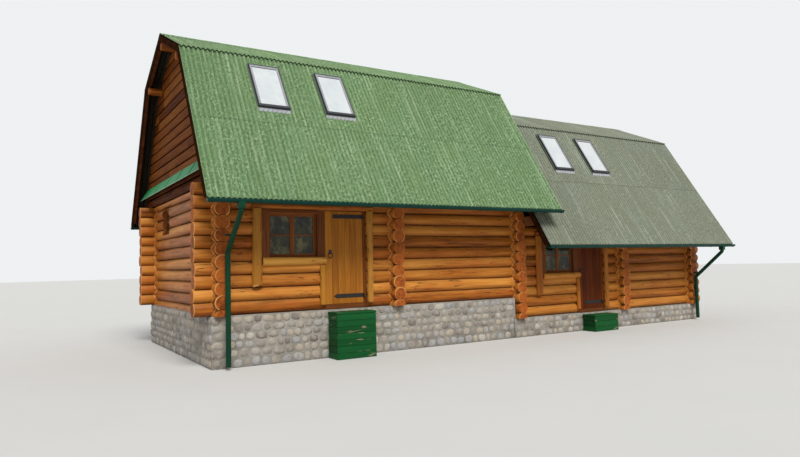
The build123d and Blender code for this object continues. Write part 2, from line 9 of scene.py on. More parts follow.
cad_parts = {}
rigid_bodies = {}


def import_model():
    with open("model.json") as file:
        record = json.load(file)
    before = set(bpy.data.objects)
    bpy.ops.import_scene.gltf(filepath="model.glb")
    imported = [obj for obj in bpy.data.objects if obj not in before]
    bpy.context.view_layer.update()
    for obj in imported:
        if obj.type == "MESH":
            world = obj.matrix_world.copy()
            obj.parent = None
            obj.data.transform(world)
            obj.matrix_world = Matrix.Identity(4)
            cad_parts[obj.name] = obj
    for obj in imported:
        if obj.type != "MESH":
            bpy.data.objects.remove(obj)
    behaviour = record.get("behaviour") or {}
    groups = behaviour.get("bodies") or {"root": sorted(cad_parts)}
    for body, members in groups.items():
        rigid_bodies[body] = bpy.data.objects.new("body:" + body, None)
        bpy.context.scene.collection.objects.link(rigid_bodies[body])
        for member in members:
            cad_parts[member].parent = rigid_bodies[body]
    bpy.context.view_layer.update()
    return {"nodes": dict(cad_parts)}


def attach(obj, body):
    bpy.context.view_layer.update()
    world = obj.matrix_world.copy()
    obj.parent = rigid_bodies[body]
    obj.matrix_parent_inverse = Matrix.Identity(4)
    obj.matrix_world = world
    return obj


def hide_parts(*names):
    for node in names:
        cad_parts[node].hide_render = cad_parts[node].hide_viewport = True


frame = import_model()
nodes = frame["nodes"]
print("frame loaded:", len(nodes), "nodes")

# Sizes in metres, x along the front, y into the depth, z up from the plinth's foot
cabin = {"wallY": 2.72, "logRadius": 0.1425, "course": 0.25, "logEnd": 3.04, "seat": 0.0003, "sheet": 0.04,
         "slopeLow": atan2(3.30, 2.09), "slopeHigh": atan2(0.82, 1.85)}
left = {"name": "left", "axes": (-7.35, -3.52, 0.0), "base": 0.97, "top": 3.47, "courses": 10,
        "kneeY": 1.85, "knee": 6.37, "ridge": 7.19, "eave": 3.07, "roofWindows": (-6.52, -5.03),
        "logs": (-7.845, -0.0003), "roof": (-7.87, 0.52), "gutter": (-7.87, 0.52),
        "purlins": (-7.8447, 0.4947), "plinth": (-7.55, -0.2003), "spoutX": -7.28}
right = {"name": "right", "axes": (0.0, 3.83, 6.93), "base": 0.47, "top": 2.72, "courses": 9,
         "kneeY": 1.85, "knee": 5.594, "ridge": 6.414, "eave": 2.23, "roofWindows": (1.62, 3.03),
         "logs": (0.0003, 7.425), "roof": (0.0253, 7.45), "gutter": (0.0, 7.45),
         "purlins": (0.1428, 7.4247), "plinth": (-0.20, 7.13), "spoutX": 6.86}
# The bay with the door and the window, from the section's first axis and from its base
bay = {"doorX": 2.17, "doorW": 0.87, "doorH": 1.92, "sill": 0.10, "gap": 0.005, "jamb": 0.07,
       "windowX": 0.95, "windowW": 1.05, "windowZ": 1.08, "windowH": 0.88, "rearX": 1.40}
endWindow = {"y": 0.91, "wide": 0.80, "sill": 1.73, "tall": 0.64}
gableFace = {"left": -7.5425, "step": 0.025, "right": 7.1225}


# Materials

class Val:
    # an output of a node; arithmetic on it adds the nodes that work it out
    def __init__(self, surface, socket):
        self.surface, self.socket = surface, socket
        self.kind = {"VALUE": "value", "VECTOR": "vector", "RGBA": "colour"}[socket.type]

    def join(self, operation, other, flipped=False):
        first, second = (other, self) if flipped else (self, other)
        kinds = {v.kind for v in (first, second) if isinstance(v, Val)}
        if "colour" in kinds:
            return self.surface.mix(1.0, first, second, operation)
        if "vector" in kinds:
            plain = not isinstance(other, tuple) and getattr(other, "kind", "value") == "value"
            if operation == "MULTIPLY" and plain:
                return self.surface.node("VectorMath", {"operation": "SCALE"}, {0: self, "Scale": other})
            return self.surface.node("VectorMath", {"operation": operation}, {0: first, 1: second})
        return self.surface.node("Math", {"operation": operation}, {0: first, 1: second})

    def __add__(self, other):
        return self.join("ADD", other)

    def __radd__(self, other):
        return self.join("ADD", other, True)

    def __sub__(self, other):
        return self.join("SUBTRACT", other)

    def __rsub__(self, other):
        return self.join("SUBTRACT", other, True)

    def __mul__(self, other):
        return self.join("MULTIPLY", other)

    def __rmul__(self, other):
        return self.join("MULTIPLY", other, True)

    def __truediv__(self, other):
        return self.join("DIVIDE", other)

    def __abs__(self):
        return self.call("ABSOLUTE")

    def low(self, other):
        return self.join("MINIMUM", other)

    def call(self, operation):
        return self.surface.node("Math", {"operation": operation}, {0: self})

    def parts(self):
        # the three numbers of a vector
        return [self.surface.node("SeparateXYZ", None, {0: self}, i) for i in range(3)]


class Surface:
    # the node tree of one material
    def __init__(self, name):
        self.material = bpy.data.materials.new(name)
        self.material.use_nodes = True
        self.tree = self.material.node_tree
        self.tree.nodes.clear()

    def node(self, kind, settings=None, inputs=None, output=0):
        node = self.tree.nodes.new("ShaderNode" + kind)
        for name, value in (settings or {}).items():
            if name == "stops":
                steps = node.color_ramp.elements
                while len(steps) < len(value):
                    steps.new(0.5)
                for step, (position, colour) in zip(steps, value):
                    step.position, step.color = position, colour
            else:
                setattr(node, name, value)
        for name, value in (inputs or {}).items():
            if isinstance(value, Val):
                self.tree.links.new(value.socket, node.inputs[name])
            else:
                node.inputs[name].default_value = value
        return Val(self, node.outputs[output])

    def value(self, name):
        return self.node("Attribute", {"attribute_name": name}, None, "Fac")

    def vector(self, name):
        return self.node("Attribute", {"attribute_name": name}, None, "Vector")

    def place(self):
        return self.node("TexCoord", None, None, "Object")

    def noise(self, where, detail=3.0, rough=0.55, warp=0.0):
        return self.node("TexNoise", None, {"Vector": where, "Scale": 1.0, "Detail": detail,
                                            "Roughness": rough, "Distortion": warp})

    def spots(self, where, rim, chance):
        # round spots with soft rims, in the cells whose random colour is light enough
        chosen = self.cells(where, output="Color") * 1.0
        return self.step(self.cells(where), *rim) * self.step(chosen, *chance)

    def cells(self, where, output="Distance"):
        return self.node("TexVoronoi", {"feature": "F1"}, {"Vector": where, "Scale": 1.0}, output)

    def step(self, value, low, high, start=0.0, end=1.0):
        # goes smoothly from start to end as value goes from low to high
        return self.node("MapRange", {"interpolation_type": "SMOOTHSTEP"},
                         {"Value": value, "From Min": low, "From Max": high, "To Min": start, "To Max": end})

    def ramp(self, value, *stops):
        return self.node("ValToRGB", {"stops": [(p, tint(c)) for p, c in stops]}, {0: value})

    def mix(self, mask, a, b, blend="MIX"):
        a, b = (v if isinstance(v, Val) else tint(v) for v in (a, b))
        return self.node("Mix", {"data_type": "RGBA", "blend_type": blend}, {0: mask, 6: a, 7: b}, 2)

    def finish(self, colour, roughness=0.6, height=None, bump=0.002, strength=0.6, alpha=None, **fixed):
        inputs = {"Base Color": colour if isinstance(colour, Val) else tint(colour), "Roughness": roughness}
        inputs.update({name.replace("_", " "): value for name, value in fixed.items()})
        if height is not None:
            relief = {"Strength": strength, "Distance": bump, "Height": height}
            inputs["Normal"] = self.node("Bump", None, relief)
        if alpha is not None:
            inputs["Alpha"] = alpha
        shader = self.tree.nodes.new("ShaderNodeBsdfPrincipled")
        for name, value in inputs.items():
            if isinstance(value, Val):
                self.tree.links.new(value.socket, shader.inputs[name])
            else:
                shader.inputs[name].default_value = value
        out = self.tree.nodes.new("ShaderNodeOutputMaterial")
        self.tree.links.new(shader.outputs[0], out.inputs[0])
        return self.material


def scaled(colour, share):
    return tuple(min(1.0, c * share) for c in colour)


def tint(colour):
    # a grey number or red, green, blue as the four numbers of a socket
    if isinstance(colour, (int, float)):
        return (colour,) * 3 + (1.0,)
    return tuple(colour)[:3] + (1.0,)


logTints = {"dark": (0.14, 0.032, 0.004), "mid": (0.46, 0.146, 0.017), "light": (0.73, 0.310, 0.056),
            "red": (0.49, 0.122, 0.019), "topHighlight": (0.76, 0.39, 0.120)}
poleTints = {"dark": (0.27, 0.095, 0.009), "mid": (0.50, 0.215, 0.026), "light": (0.66, 0.34, 0.070),
             "red": (0.42, 0.150, 0.020), "topHighlight": (0.68, 0.42, 0.13)}


def roundWood(name, tints, rims=False):
    s = Surface(name)
    grain, tone = s.vector("grain"), s.value("tone")
    up = grain.parts()[2]
    streak = s.noise(grain * (0.9, 15.0, 15.0), detail=5, rough=0.6, warp=0.25)
    fibre = s.noise(grain * (4.0, 130.0, 130.0), detail=2)
    patch = s.noise(grain * (0.8, 2.5, 2.5), detail=3)
    blot = s.noise(grain * (3.2, 9.0, 9.0), detail=4)
    shade = streak * 0.56 + tone * 0.42 + fibre * 0.09 - 0.03
    wood = s.ramp(shade, (0.30, tints["dark"]), (0.48, tints["mid"]), (0.74, tints["light"]))
    wood = s.mix(s.step(patch, 0.48, 0.70) * 0.6, wood, tints["red"])
    # painted highlight: the upper side of each log is lighter, as if lit from above
    wood = s.mix(s.step(up + blot * 0.09, 0.08, 0.20) * 0.35, wood, tints["topHighlight"])
    # painted shade: the lower side of each log is darker
    wood = s.mix(s.step(up + blot * 0.03, 0.010, -0.095) * 0.50, wood, tints["dark"])
    knot = s.spots(grain * (1.7, 7.0, 7.0), (0.15, 0.08), (0.60, 0.63))
    wood = s.mix(knot * 0.6, wood, scaled(tints["dark"], 0.6))
    split = s.noise(grain * (0.55, 9.0, 9.0), detail=3, warp=0.4)
    crack = s.step(abs(split - 0.5), 0.007, 0.001) * s.step(patch, 0.40, 0.52)
    wood = s.mix(crack * 0.85, wood, (0.035, 0.012, 0.004))
    # painted shade: near black in the crease where each log sits on the one below
    seam = s.step(up + blot * 0.02, -0.080, -0.118)
    wood = s.mix(seam * 0.88, wood, (0.030, 0.008, 0.002))
    height = streak * 0.5 + fibre * 0.16 - crack * 1.2 - knot * 0.4
    if rims:
        wood = s.mix(notchRims(s) * 0.95, wood, (0.80, 0.42, 0.15))
    return s.finish(wood, roughness=0.36 + fibre * 0.18 + seam * 0.3, height=height, bump=0.006,
                    Specular_IOR_Level=0.15)


def notchRims(s):
    # pale edges where the logs of crossing walls meet, a narrow band round each saddle notch
    x, y, z = s.place().parts()
    pitch, radius = cabin["course"], cabin["logRadius"]
    wobble = (s.noise(s.place() * 7.0, detail=2) - 0.5) * 0.016
    nearest = None
    for axis in sorted(set(left["axes"] + right["axes"])):
        gap = abs(x - axis)
        nearest = gap if nearest is None else nearest.low(gap)
    depth = abs(y) - cabin["wallY"]
    bands = []
    for across, shift in ((nearest, 0.0), (depth, pitch / 2)):
        level = ((z - (left["base"] + shift - pitch / 2)) / pitch).call("FRACT") - 0.5
        distance = (across * across + (level * pitch) * (level * pitch)).call("SQRT") + wobble
        bands.append(s.step(abs(distance - radius - 0.005), 0.013, 0.007))
    turned = s.value("turned")
    return bands[0] * (1.0 - turned) + bands[1] * turned


def endWood(name, tints, rimStart=0.127):
    s = Surface(name)
    grain, tone = s.vector("grain"), s.value("tone")
    flat = grain * (0.0, 1.0, 1.0)
    warped = flat + (s.node("TexNoise", None, {"Vector": grain * 9.0, "Detail": 2.0}, 1) * 1.0) * 0.012
    distance = s.node("VectorMath", {"operation": "LENGTH"}, {0: flat}, 1)
    rings = (s.node("VectorMath", {"operation": "LENGTH"}, {0: warped}, 1) * 620.0).call("SINE")
    heart = s.noise(grain * 11.0, detail=3)
    wood = s.ramp(heart * 0.6 + tone * 0.35, (0.26, tints["dark"]), (0.50, tints["red"]),
                  (0.86, tints["mid"]))
    wood = s.mix(s.step(rings, 0.1, 0.9) * 0.42, wood, tints["dark"])
    rays = s.noise(s.node("VectorMath", {"operation": "NORMALIZE"}, {0: flat}) * 3.4 + grain * 0.6, detail=2)
    crack = s.step(abs(rays - 0.5), 0.022, 0.004) * s.step(distance, 0.012, 0.03)
    crack = crack * s.step(distance, 0.125, 0.10)
    wood = s.mix(crack * 0.8, wood, (0.05, 0.017, 0.006))
    wood = s.mix(s.step(distance, rimStart, rimStart + 0.008) * 0.75, wood, (0.72, 0.36, 0.11))
    return s.finish(wood, roughness=0.6, height=rings * 0.25 - crack * 1.5 + heart * 0.4, bump=0.003,
                    Specular_IOR_Level=0.15)


def plankWood(name, dark, mid, light, knots=0.6, attribute=True, shine=0.25):
    # sawn boards; grain runs along the first number of the grain attribute, or along x of the object
    s = Surface(name)
    if attribute:
        grain, tone = s.vector("grain"), s.value("tone")
    else:
        grain = s.place()
        tone = s.noise(grain * (0.25, 5.0, 5.0), detail=0)
    wave = s.noise(grain * (1.1, 22.0, 22.0), detail=5, rough=0.6, warp=0.5)
    fibre = s.noise(grain * (5.0, 190.0, 190.0), detail=2)
    patch = s.noise(grain * (1.1, 3.2, 3.2), detail=3)
    wood = s.ramp(wave * 0.55 + tone * 0.32 + patch * 0.2, (0.34, dark), (0.52, mid), (0.74, light))
    knot = s.spots(grain * (2.2, 9.0, 9.0), (0.16, 0.09), (0.60, 0.63))
    wood = s.mix(knot * knots, wood, scaled(dark, 0.4))
    wood = s.mix(s.step(patch, 0.56, 0.72) * 0.35, wood, scaled(mid, 0.75))
    return s.finish(wood, roughness=0.5 + fibre * 0.18, height=wave * 0.5 + fibre * 0.3 - knot * 0.3,
                    bump=0.0025, Specular_IOR_Level=shine)


def sheetPaint(name, valleyShade, face, pale, dark, warm, rough=1.0):
    # weathered fibre sheets: mottled all over, painted shade in the valleys and at the laps, streaks down the
    # slope
    s = Surface(name)
    lay, crest, tone, edge = s.vector("lay"), s.value("crest"), s.value("tone"), s.value("edge")
    drift = s.noise(lay * (0.8, 0.5, 1.0), detail=3)
    streak = s.noise(lay * (11.0, 0.55, 1.0), detail=3, rough=0.6)
    run = s.noise(lay * (34.0, 2.2, 1.0), detail=3)
    mottle = s.noise(lay * (25.0, 15.0, 1.0), detail=2, rough=0.7)
    grit = s.noise(lay * 120.0, detail=2)
    fleck = s.spots(lay * 24.0, (0.30, 0.16), (0.62, 0.66))
    amount = s.step(s.noise(lay * (2.1, 1.2, 1.0) + (7.0, 3.0, 0.0), detail=3), 0.36, 0.64, 0.35, 1.0)
    # painted shade: the valleys are darker than the crests
    paint = s.mix(s.step(crest + run * 0.3 - 0.15, 0.10, 0.80), valleyShade, face)
    paint = s.mix(s.step(drift, 0.42, 0.62) * 0.8, paint, warm, "MULTIPLY")
    paint = s.mix(s.step(streak, 0.50, 0.68) * s.step(crest, 0.1, 0.8, 0.35, 1.0) * 0.62, paint, pale)
    paint = s.mix(s.step(mottle, 0.53, 0.64) * amount * 0.72 * rough, paint, pale)
    paint = s.mix(s.step(mottle, 0.48, 0.36) * amount * 0.82 * rough, paint, dark)
    paint = s.mix(fleck * 0.75 * rough, paint, scaled(pale, 1.25))
    # painted shade near each sheet's lower and upper edge, where the laps and the knee overhang shade it
    lapShade = s.step(edge + run * 0.02, 0.030, 0.016) * s.step(mottle, 0.36, 0.52)
    paint = s.mix(lapShade * 0.75, paint, scaled(dark, 0.3))
    paint = paint * s.mix(tone, (0.93, 0.93, 0.93), (1.06, 1.06, 1.06))
    return s.finish(paint, roughness=0.66 + grit * 0.2, height=grit * 0.4 + mottle * 0.4, bump=0.002,
                    strength=0.5, Specular_IOR_Level=0.3)


def steelPaint(name, colour, wear):
    s = Surface(name)
    here = s.place()
    cloud = s.noise(here * 2.2, detail=3)
    run = s.noise(here * (9.0, 9.0, 1.4), detail=3)
    chip = s.step(s.noise(here * 38.0, detail=4), 0.68, 0.74)
    paint = s.ramp(cloud * 0.6 + run * 0.4, (0.35, scaled(colour, 0.72)), (0.62, colour),
                   (0.85, tuple(min(1.0, c * 1.35 + 0.02) for c in colour)))
    paint = s.mix(chip * wear, paint, (0.28, 0.30, 0.26))
    return s.finish(paint, roughness=0.36 + cloud * 0.2, height=s.noise(here * 60.0, detail=2), bump=0.0006,
                    strength=0.3, Specular_IOR_Level=0.15)


def stoneFace(name):
    s = Surface(name)
    here, tone = s.place(), s.value("tone")
    cloud = s.noise(here * 9.0, detail=5, rough=0.65)
    grit = s.noise(here * 85.0, detail=3)
    speck = s.cells(here * 120.0)
    stone = s.ramp(tone, (0.0, (0.20, 0.17, 0.145)), (0.35, (0.34, 0.31, 0.27)), (0.62, (0.43, 0.36, 0.28)),
                   (0.82, (0.30, 0.30, 0.31)), (1.0, (0.50, 0.46, 0.40)))
    stone = s.mix(s.step(cloud, 0.48, 0.68) * 0.5, stone, (0.50, 0.47, 0.41))
    stone = s.mix(s.step(cloud, 0.46, 0.30) * 0.5, stone, (0.12, 0.11, 0.085))
    stone = s.mix(s.step(speck, 0.30, 0.15) * 0.25, stone, (0.62, 0.60, 0.56))
    return s.finish(stone, roughness=0.72 + grit * 0.2, height=cloud * 0.7 + grit * 0.3, bump=0.006)


def mortarFace(name):
    s = Surface(name)
    here = s.place()
    cloud = s.noise(here * 5.0, detail=4)
    grit = s.noise(here * 140.0, detail=3)
    stain = s.noise(here * (2.0, 2.0, 0.7), detail=3)
    mortar = s.ramp(cloud * 0.7 + grit * 0.3, (0.3, (0.21, 0.195, 0.17)), (0.7, (0.40, 0.375, 0.33)))
    mortar = s.mix(s.step(stain, 0.5, 0.7) * 0.5, mortar, (0.15, 0.14, 0.10))
    return s.finish(mortar, roughness=0.88, height=grit * 0.6 + cloud * 0.5, bump=0.004)


def ironFace(name):
    s = Surface(name)
    here = s.place()
    beaten = s.noise(here * 45.0, detail=3)
    rust = s.step(s.noise(here * 30.0, detail=5), 0.62, 0.72)
    iron = s.mix(rust * 0.5, s.ramp(beaten, (0.3, (0.012, 0.011, 0.011)), (0.7, (0.045, 0.042, 0.04))),
                 (0.10, 0.035, 0.015))
    return s.finish(iron, roughness=0.42 + rust * 0.3, height=beaten, bump=0.0015, Metallic=0.6)


def metalFace(name, colour, rough, metallic=1.0):
    s = Surface(name)
    here = s.place()
    cloud = s.noise(here * 4.0, detail=3)
    dust = s.noise(here * 60.0, detail=3)
    metal = s.ramp(cloud * 0.6 + dust * 0.4, (0.3, scaled(colour, 0.75)), (0.7, colour))
    return s.finish(metal, roughness=rough + dust * 0.15, height=dust, bump=0.0004, strength=0.3,
                    Metallic=metallic)


def wallGlass(name):
    s = Surface(name)
    here = s.place()
    dust = s.noise(here * 6.0, detail=4)
    bloom = s.noise(here * (5.0, 5.0, 3.0), detail=4, rough=0.65)
    # the pale yellow-green blotches are partly a dust film and partly a painted reflection of greenery
    filmAndReflection = s.ramp(dust * 0.3 + bloom * 0.7, (0.40, (0.004, 0.006, 0.002)), (0.50, (0.035, 0.036, 0.010)),
                  (0.62, (0.17, 0.15, 0.055)))
    return s.finish(filmAndReflection, roughness=0.05 + dust * 0.06, height=s.noise(here * 1.6, detail=1), bump=0.006,
                    strength=0.25, alpha=s.step(dust, 0.3, 0.8, 0.80, 0.92), IOR=1.5, Specular_IOR_Level=0.35)


def skyGlass(name):
    # roof panes that mirror the sky, with a faint bloom of dust
    s = Surface(name)
    here = s.place()
    dust = s.noise(here * 3.0, detail=4)
    sheen = s.ramp(dust, (0.35, (0.78, 0.82, 0.83)), (0.75, (0.90, 0.92, 0.92)))
    return s.finish(sheen, roughness=0.09 + dust * 0.08, height=s.noise(here * 1.1, detail=1), bump=0.004,
                    strength=0.2, Metallic=0.82)


def greenBoard(name):
    s = Surface(name)
    grain, tone = s.vector("grain"), s.value("tone")
    wave = s.noise(grain * (1.2, 26.0, 26.0), detail=4, warp=0.4)
    fibre = s.noise(grain * (6.0, 160.0, 160.0), detail=2)
    worn = s.noise(grain * (2.2, 9.0, 9.0), detail=5, rough=0.65)
    paint = s.ramp(wave * 0.5 + tone * 0.4, (0.25, (0.003, 0.044, 0.010)), (0.7, (0.008, 0.100, 0.024)))
    bare = s.step(worn, 0.60, 0.68)
    paint = s.mix(bare * 0.7, paint, (0.30, 0.24, 0.16))
    height = wave * 0.5 + fibre * 0.3 - bare * 0.4
    return s.finish(paint, roughness=0.45 + bare * 0.3, height=height, bump=0.002, Specular_IOR_Level=0.10)


logSide = roundWood("logSide", logTints, rims=True)
logCut = endWood("logCut", logTints)
poleSide = roundWood("poleSide", poleTints)
poleCut = endWood("poleCut", poleTints, rimStart=0.07)
leftSheet = sheetPaint("leftSheet", (0.101, 0.184, 0.079), (0.157, 0.272, 0.121), (0.36, 0.475, 0.30),
                       (0.065, 0.125, 0.050), (1.0, 0.95, 0.88))
rightSheet = sheetPaint("rightSheet", (0.145, 0.176, 0.128), (0.210, 0.242, 0.182), (0.39, 0.41, 0.34),
                        (0.105, 0.120, 0.088), (1.0, 0.95, 0.90), rough=0.6)
sheetBack = steelPaint("sheetBack", (0.020, 0.014, 0.008), 0.1)
gableWood = plankWood("gableWood", (0.055, 0.012, 0.002), (0.155, 0.043, 0.008), (0.27, 0.092, 0.018),
                      shine=0.02)
vergeWood = plankWood("vergeWood", (0.014, 0.006, 0.003), (0.035, 0.013, 0.006), (0.065, 0.025, 0.012),
                      shine=0.0, attribute=False)
grooveShade = plankWood("grooveShade", (0.010, 0.003, 0.001), (0.022, 0.006, 0.002), (0.04, 0.012, 0.004),
                       shine=0.0)
rafterWood = plankWood("rafterWood", (0.035, 0.010, 0.003), (0.085, 0.024, 0.008), (0.15, 0.048, 0.018),
                       shine=0.02, attribute=False)
frameWood = plankWood("frameWood", (0.080, 0.022, 0.005), (0.185, 0.055, 0.012), (0.31, 0.105, 0.024),
                      shine=0.15)
darkDoorWood = plankWood("darkDoorWood", (0.05, 0.010, 0.002), (0.110, 0.020, 0.003), (0.18, 0.042, 0.008),
                         shine=0.10)
goldDoorWood = plankWood("goldDoorWood", (0.24, 0.076, 0.004), (0.37, 0.126, 0.009), (0.50, 0.195, 0.022),
                         shine=0.20, knots=0.35)
timber = plankWood("timber", (0.11, 0.040, 0.012), (0.22, 0.090, 0.030), (0.34, 0.17, 0.070), attribute=False)
gutterSteel = steelPaint("gutterSteel", (0.002, 0.046, 0.033), 0.12)
pipeSteel = steelPaint("pipeSteel", (0.0015, 0.046, 0.019), 0.12)
stripSteel = steelPaint("stripSteel", (0.040, 0.30, 0.11), 0.12)
hemSteel = steelPaint("hemSteel", (0.30, 0.55, 0.36), 0.05)
stone, mortar = stoneFace("stone"), mortarFace("mortar")
iron = ironFace("iron")
roofMetal = metalFace("roofMetal", (0.022, 0.024, 0.028), 0.45, 0.0)
sashMetal = metalFace("sashMetal", (0.33, 0.34, 0.37), 0.42, 0.25)
lead = metalFace("lead", (0.40, 0.42, 0.45), 0.55, 0.2)
sealStrip = metalFace("sealStrip", (0.085, 0.125, 0.085), 0.60, 0.0)
glass, roofGlass = wallGlass("glass"), skyGlass("roofGlass")
paintedBoard = greenBoard("paintedBoard")
print("materials made:", len(bpy.data.materials))


# Mesh building

class Place:
    # a local frame: where its origin lies and how its three directions run
    def __init__(self, origin, u=(1, 0, 0), v=(0, 1, 0), w=(0, 0, 1)):
        self.origin, self.turn = np.array(origin, float), np.array([u, v, w], float)

    def __call__(self, points):
        return self.origin + np.asarray(points, float) @ self.turn


world = Place((0, 0, 0))


class Shape:
    # points, faces and what the material reads, gathered until the piece is made
    def __init__(self):
        self.points, self.faces, self.slots, self.values, self.count = [], [], [], {}, 0

    def add(self, points, faces, slot=0, **values):
        # faces is a block of them or a list of blocks; slot is the material of all or a list too
        points = np.asarray(points, float)
        blocks = faces if isinstance(faces, list) else [faces]
        slots = slot if isinstance(slot, list) else [slot] * len(blocks)
        for block, material in zip(blocks, slots):
            self.faces.append(np.asarray(block, int) + self.count)
            self.slots.append(np.full(len(block), material))
        for name, value in values.items():
            value = np.asarray(value, float)
            size = 3 if name in ("grain", "lay") else 1
            value = np.broadcast_to(value, (len(points), size) if size == 3 else (len(points),))
            self.values.setdefault(name, []).append((self.count, value))
        self.points.append(points)
        self.count += len(points)

    def make(self, name, materials, body, slotName, replaced=(), sharp=35, recalc=True):
        mesh = bpy.data.meshes.new(name)
        points = np.concatenate(self.points)
        sizes = np.concatenate([np.full(len(f), f.shape[1]) for f in self.faces])
        corners = np.concatenate([f.ravel() for f in self.faces])
        mesh.vertices.add(len(points))
        mesh.vertices.foreach_set("co", points.ravel())
        mesh.loops.add(len(corners))
        mesh.loops.foreach_set("vertex_index", corners)
        mesh.polygons.add(len(sizes))
        mesh.polygons.foreach_set("loop_start", np.concatenate([[0], np.cumsum(sizes)[:-1]]))
        mesh.polygons.foreach_set("material_index", np.concatenate(self.slots))
        mesh.update(calc_edges=True)
        for key, blocks in self.values.items():
            wide = key in ("grain", "lay")
            held = np.zeros((len(points), 3) if wide else len(points), np.float32)
            for start, value in blocks:
                held[start:start + len(value)] = value
            kind, field = ("FLOAT_VECTOR", "vector") if wide else ("FLOAT", "value")
            mesh.attributes.new(key, kind, "POINT").data.foreach_set(field, held.ravel())
        mesh.validate()
        if recalc:
            work = bmesh.new()
            work.from_mesh(mesh)
            bmesh.ops.recalc_face_normals(work, faces=work.faces)
            work.to_mesh(mesh)
            work.free()
        mesh.polygons.foreach_set("use_smooth", np.ones(len(mesh.polygons), bool))
        mesh.set_sharp_from_angle(angle=radians(sharp))
        for material in materials:
            mesh.materials.append(material)
        piece = bpy.data.objects.new(name, mesh)
        bpy.context.scene.collection.objects.link(piece)
        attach(piece, body)
        if replaced:
            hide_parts(*replaced)
        return piece


def gridFaces(rows, columns, closed=False):
    r, c = np.meshgrid(np.arange(rows - 1), np.arange(columns if closed else columns - 1), indexing="ij")
    a, b = r * columns + c, r * columns + (c + 1) % columns
    return np.stack([a, b, b + columns, a + columns], -1).reshape(-1, 4)


def shellFaces(rows, columns):
    # the faces of a grid, and the border that joins it to the same grid behind it
    order = np.arange(rows * columns).reshape(rows, columns)
    edge = np.concatenate([order[0, :], order[1:, -1], order[-1, -2::-1], order[-2:0:-1, 0]])
    following, behind = np.roll(edge, -1), rows * columns
    return gridFaces(rows, columns), np.stack([edge, following, following + behind, edge + behind], -1)


def prismSides(count):
    # the faces between an outline and the same outline behind it
    return np.array([[i, (i + 1) % count, (i + 1) % count + count, i + count] for i in range(count)])


# A chamfered box has three points at each corner, one on each of the faces that meet there
boxQuads, boxTris = [], []
for axis in range(3):
    one, two = (axis + 1) % 3, (axis + 2) % 3
    for sign in (0, 1):
        ring = []
        for a, b in ((0, 0), (1, 0), (1, 1), (0, 1)):
            bits = [0, 0, 0]
            bits[axis], bits[one], bits[two] = sign, a, b
            ring.append((bits[0] * 4 + bits[1] * 2 + bits[2]) * 3 + axis)
        boxQuads.append(ring)
    for a in (0, 1):
        for b in (0, 1):
            ring = []
            for end, face in ((0, one), (0, two), (1, two), (1, one)):
                bits = [0, 0, 0]
                bits[axis], bits[one], bits[two] = end, a, b
                ring.append((bits[0] * 4 + bits[1] * 2 + bits[2]) * 3 + face)
            boxQuads.append(ring)
for corner in range(8):
    boxTris.append([corner * 3, corner * 3 + 1, corner * 3 + 2])


def bar(shape, place, low, high, bevel=0.003, tone=0.5, along=0, slot=0, seed=0.0):
    # a board or bar with chamfered edges; along says which local direction its grain runs
    low, high = np.minimum(low, high).astype(float), np.maximum(low, high).astype(float)
    bevel = min(bevel, 0.45 * float((high - low).min()))
    points = []
    for index in range(8):
        bits = [(index >> 2) & 1, (index >> 1) & 1, index & 1]
        corner = np.where(bits, high, low)
        inward = np.where(bits, -1.0, 1.0) * bevel
        for face in range(3):
            point = corner + inward
            point[face] = corner[face]
            points.append(point)
    points = np.array(points)
    order = [along, (along + 1) % 3, (along + 2) % 3]
    grain = points[:, order] + (seed * 3.7, seed * 1.3, 0.0)
    shape.add(place(points), [np.array(boxQuads), np.array(boxTris)], slot, grain=grain, tone=tone)


def dome(shape, place, centre, radius, height, sides, slot=0, **values):
    # round bolt or nail head that stands on the local uv plane
    angles = np.arange(sides) * 2 * pi / sides
    ring = np.stack([np.cos(angles), np.sin(angles)], -1)
    foot = np.c_[ring * radius, np.zeros(sides)]
    shoulder = np.c_[ring * radius * 0.75, np.full(sides, height * 0.7)]
    points = np.concatenate([foot, shoulder, [[0, 0, height]]]) + np.array(centre)
    fan = np.array([[sides + i, sides + (i + 1) % sides, 2 * sides] for i in range(sides)])
    shape.add(place(points), [gridFaces(2, sides, True), fan], slot, **values)


logLook = {"sides": 24, "step": 0.16, "fineStep": 0.05, "chamfer": 0.012, "shrink": 0.075, "taper": 0.004,
           "knot": 0.006, "knotLong": 0.05, "knotWide": 0.045, "grainShift": 2.37, "bulge": 0.003}


def logRings(start, end, step, freeEnds):
    # where the rings of a log lie and how wide they are, with a chamfer at each free end
    spots = np.linspace(start, end, max(3, int((end - start) / step) + 2))
    scale = np.ones(len(spots))
    chamfer, narrow = logLook["chamfer"], 1 - logLook["shrink"]
    if freeEnds[0]:
        spots = np.concatenate([[start, start + chamfer], spots[1:]])
        scale = np.concatenate([[narrow, 1.0], scale[1:]])
    if freeEnds[1]:
        spots = np.concatenate([spots[:-1], [end - chamfer, end]])
        scale = np.concatenate([scale[:-1], [1.0, narrow]])
    return spots, scale


def unevenRadius(along, angle, radius, wild, knots, span, wave, rng):
    # ripples along and round the log, a slight taper from end to end and swellings at the knots
    ripple = (0.012 * np.sin(1.9 * along + wave[0]) + 0.012 * np.sin(2 * angle + 0.5 * along + wave[1])
              + 0.009 * np.sin(3 * angle - 0.9 * along + wave[2])
              + 0.004 * np.sin(7 * angle + 2.3 * along + wave[3])
              + 0.006 * np.sin(5.3 * along + 2 * angle + wave[4]))
    first, last = span
    share = (along - first) / (last - first) - 0.5
    reach = radius * (1 + wild * ripple) + rng.choice([-1, 1]) * logLook["taper"] * share * 2
    for _ in range(knots):
        at, turn, size = rng.uniform(first, last), rng.uniform(0, 2 * pi), rng.uniform(0.6, 1.0)
        away = (np.angle(np.exp(1j * (angle - turn))) * radius) ** 2
        spread = (along - at) ** 2 / logLook["knotLong"] ** 2 + away / logLook["knotWide"] ** 2
        reach += logLook["knot"] * wild * size * np.exp(-spread / 2)
    return reach


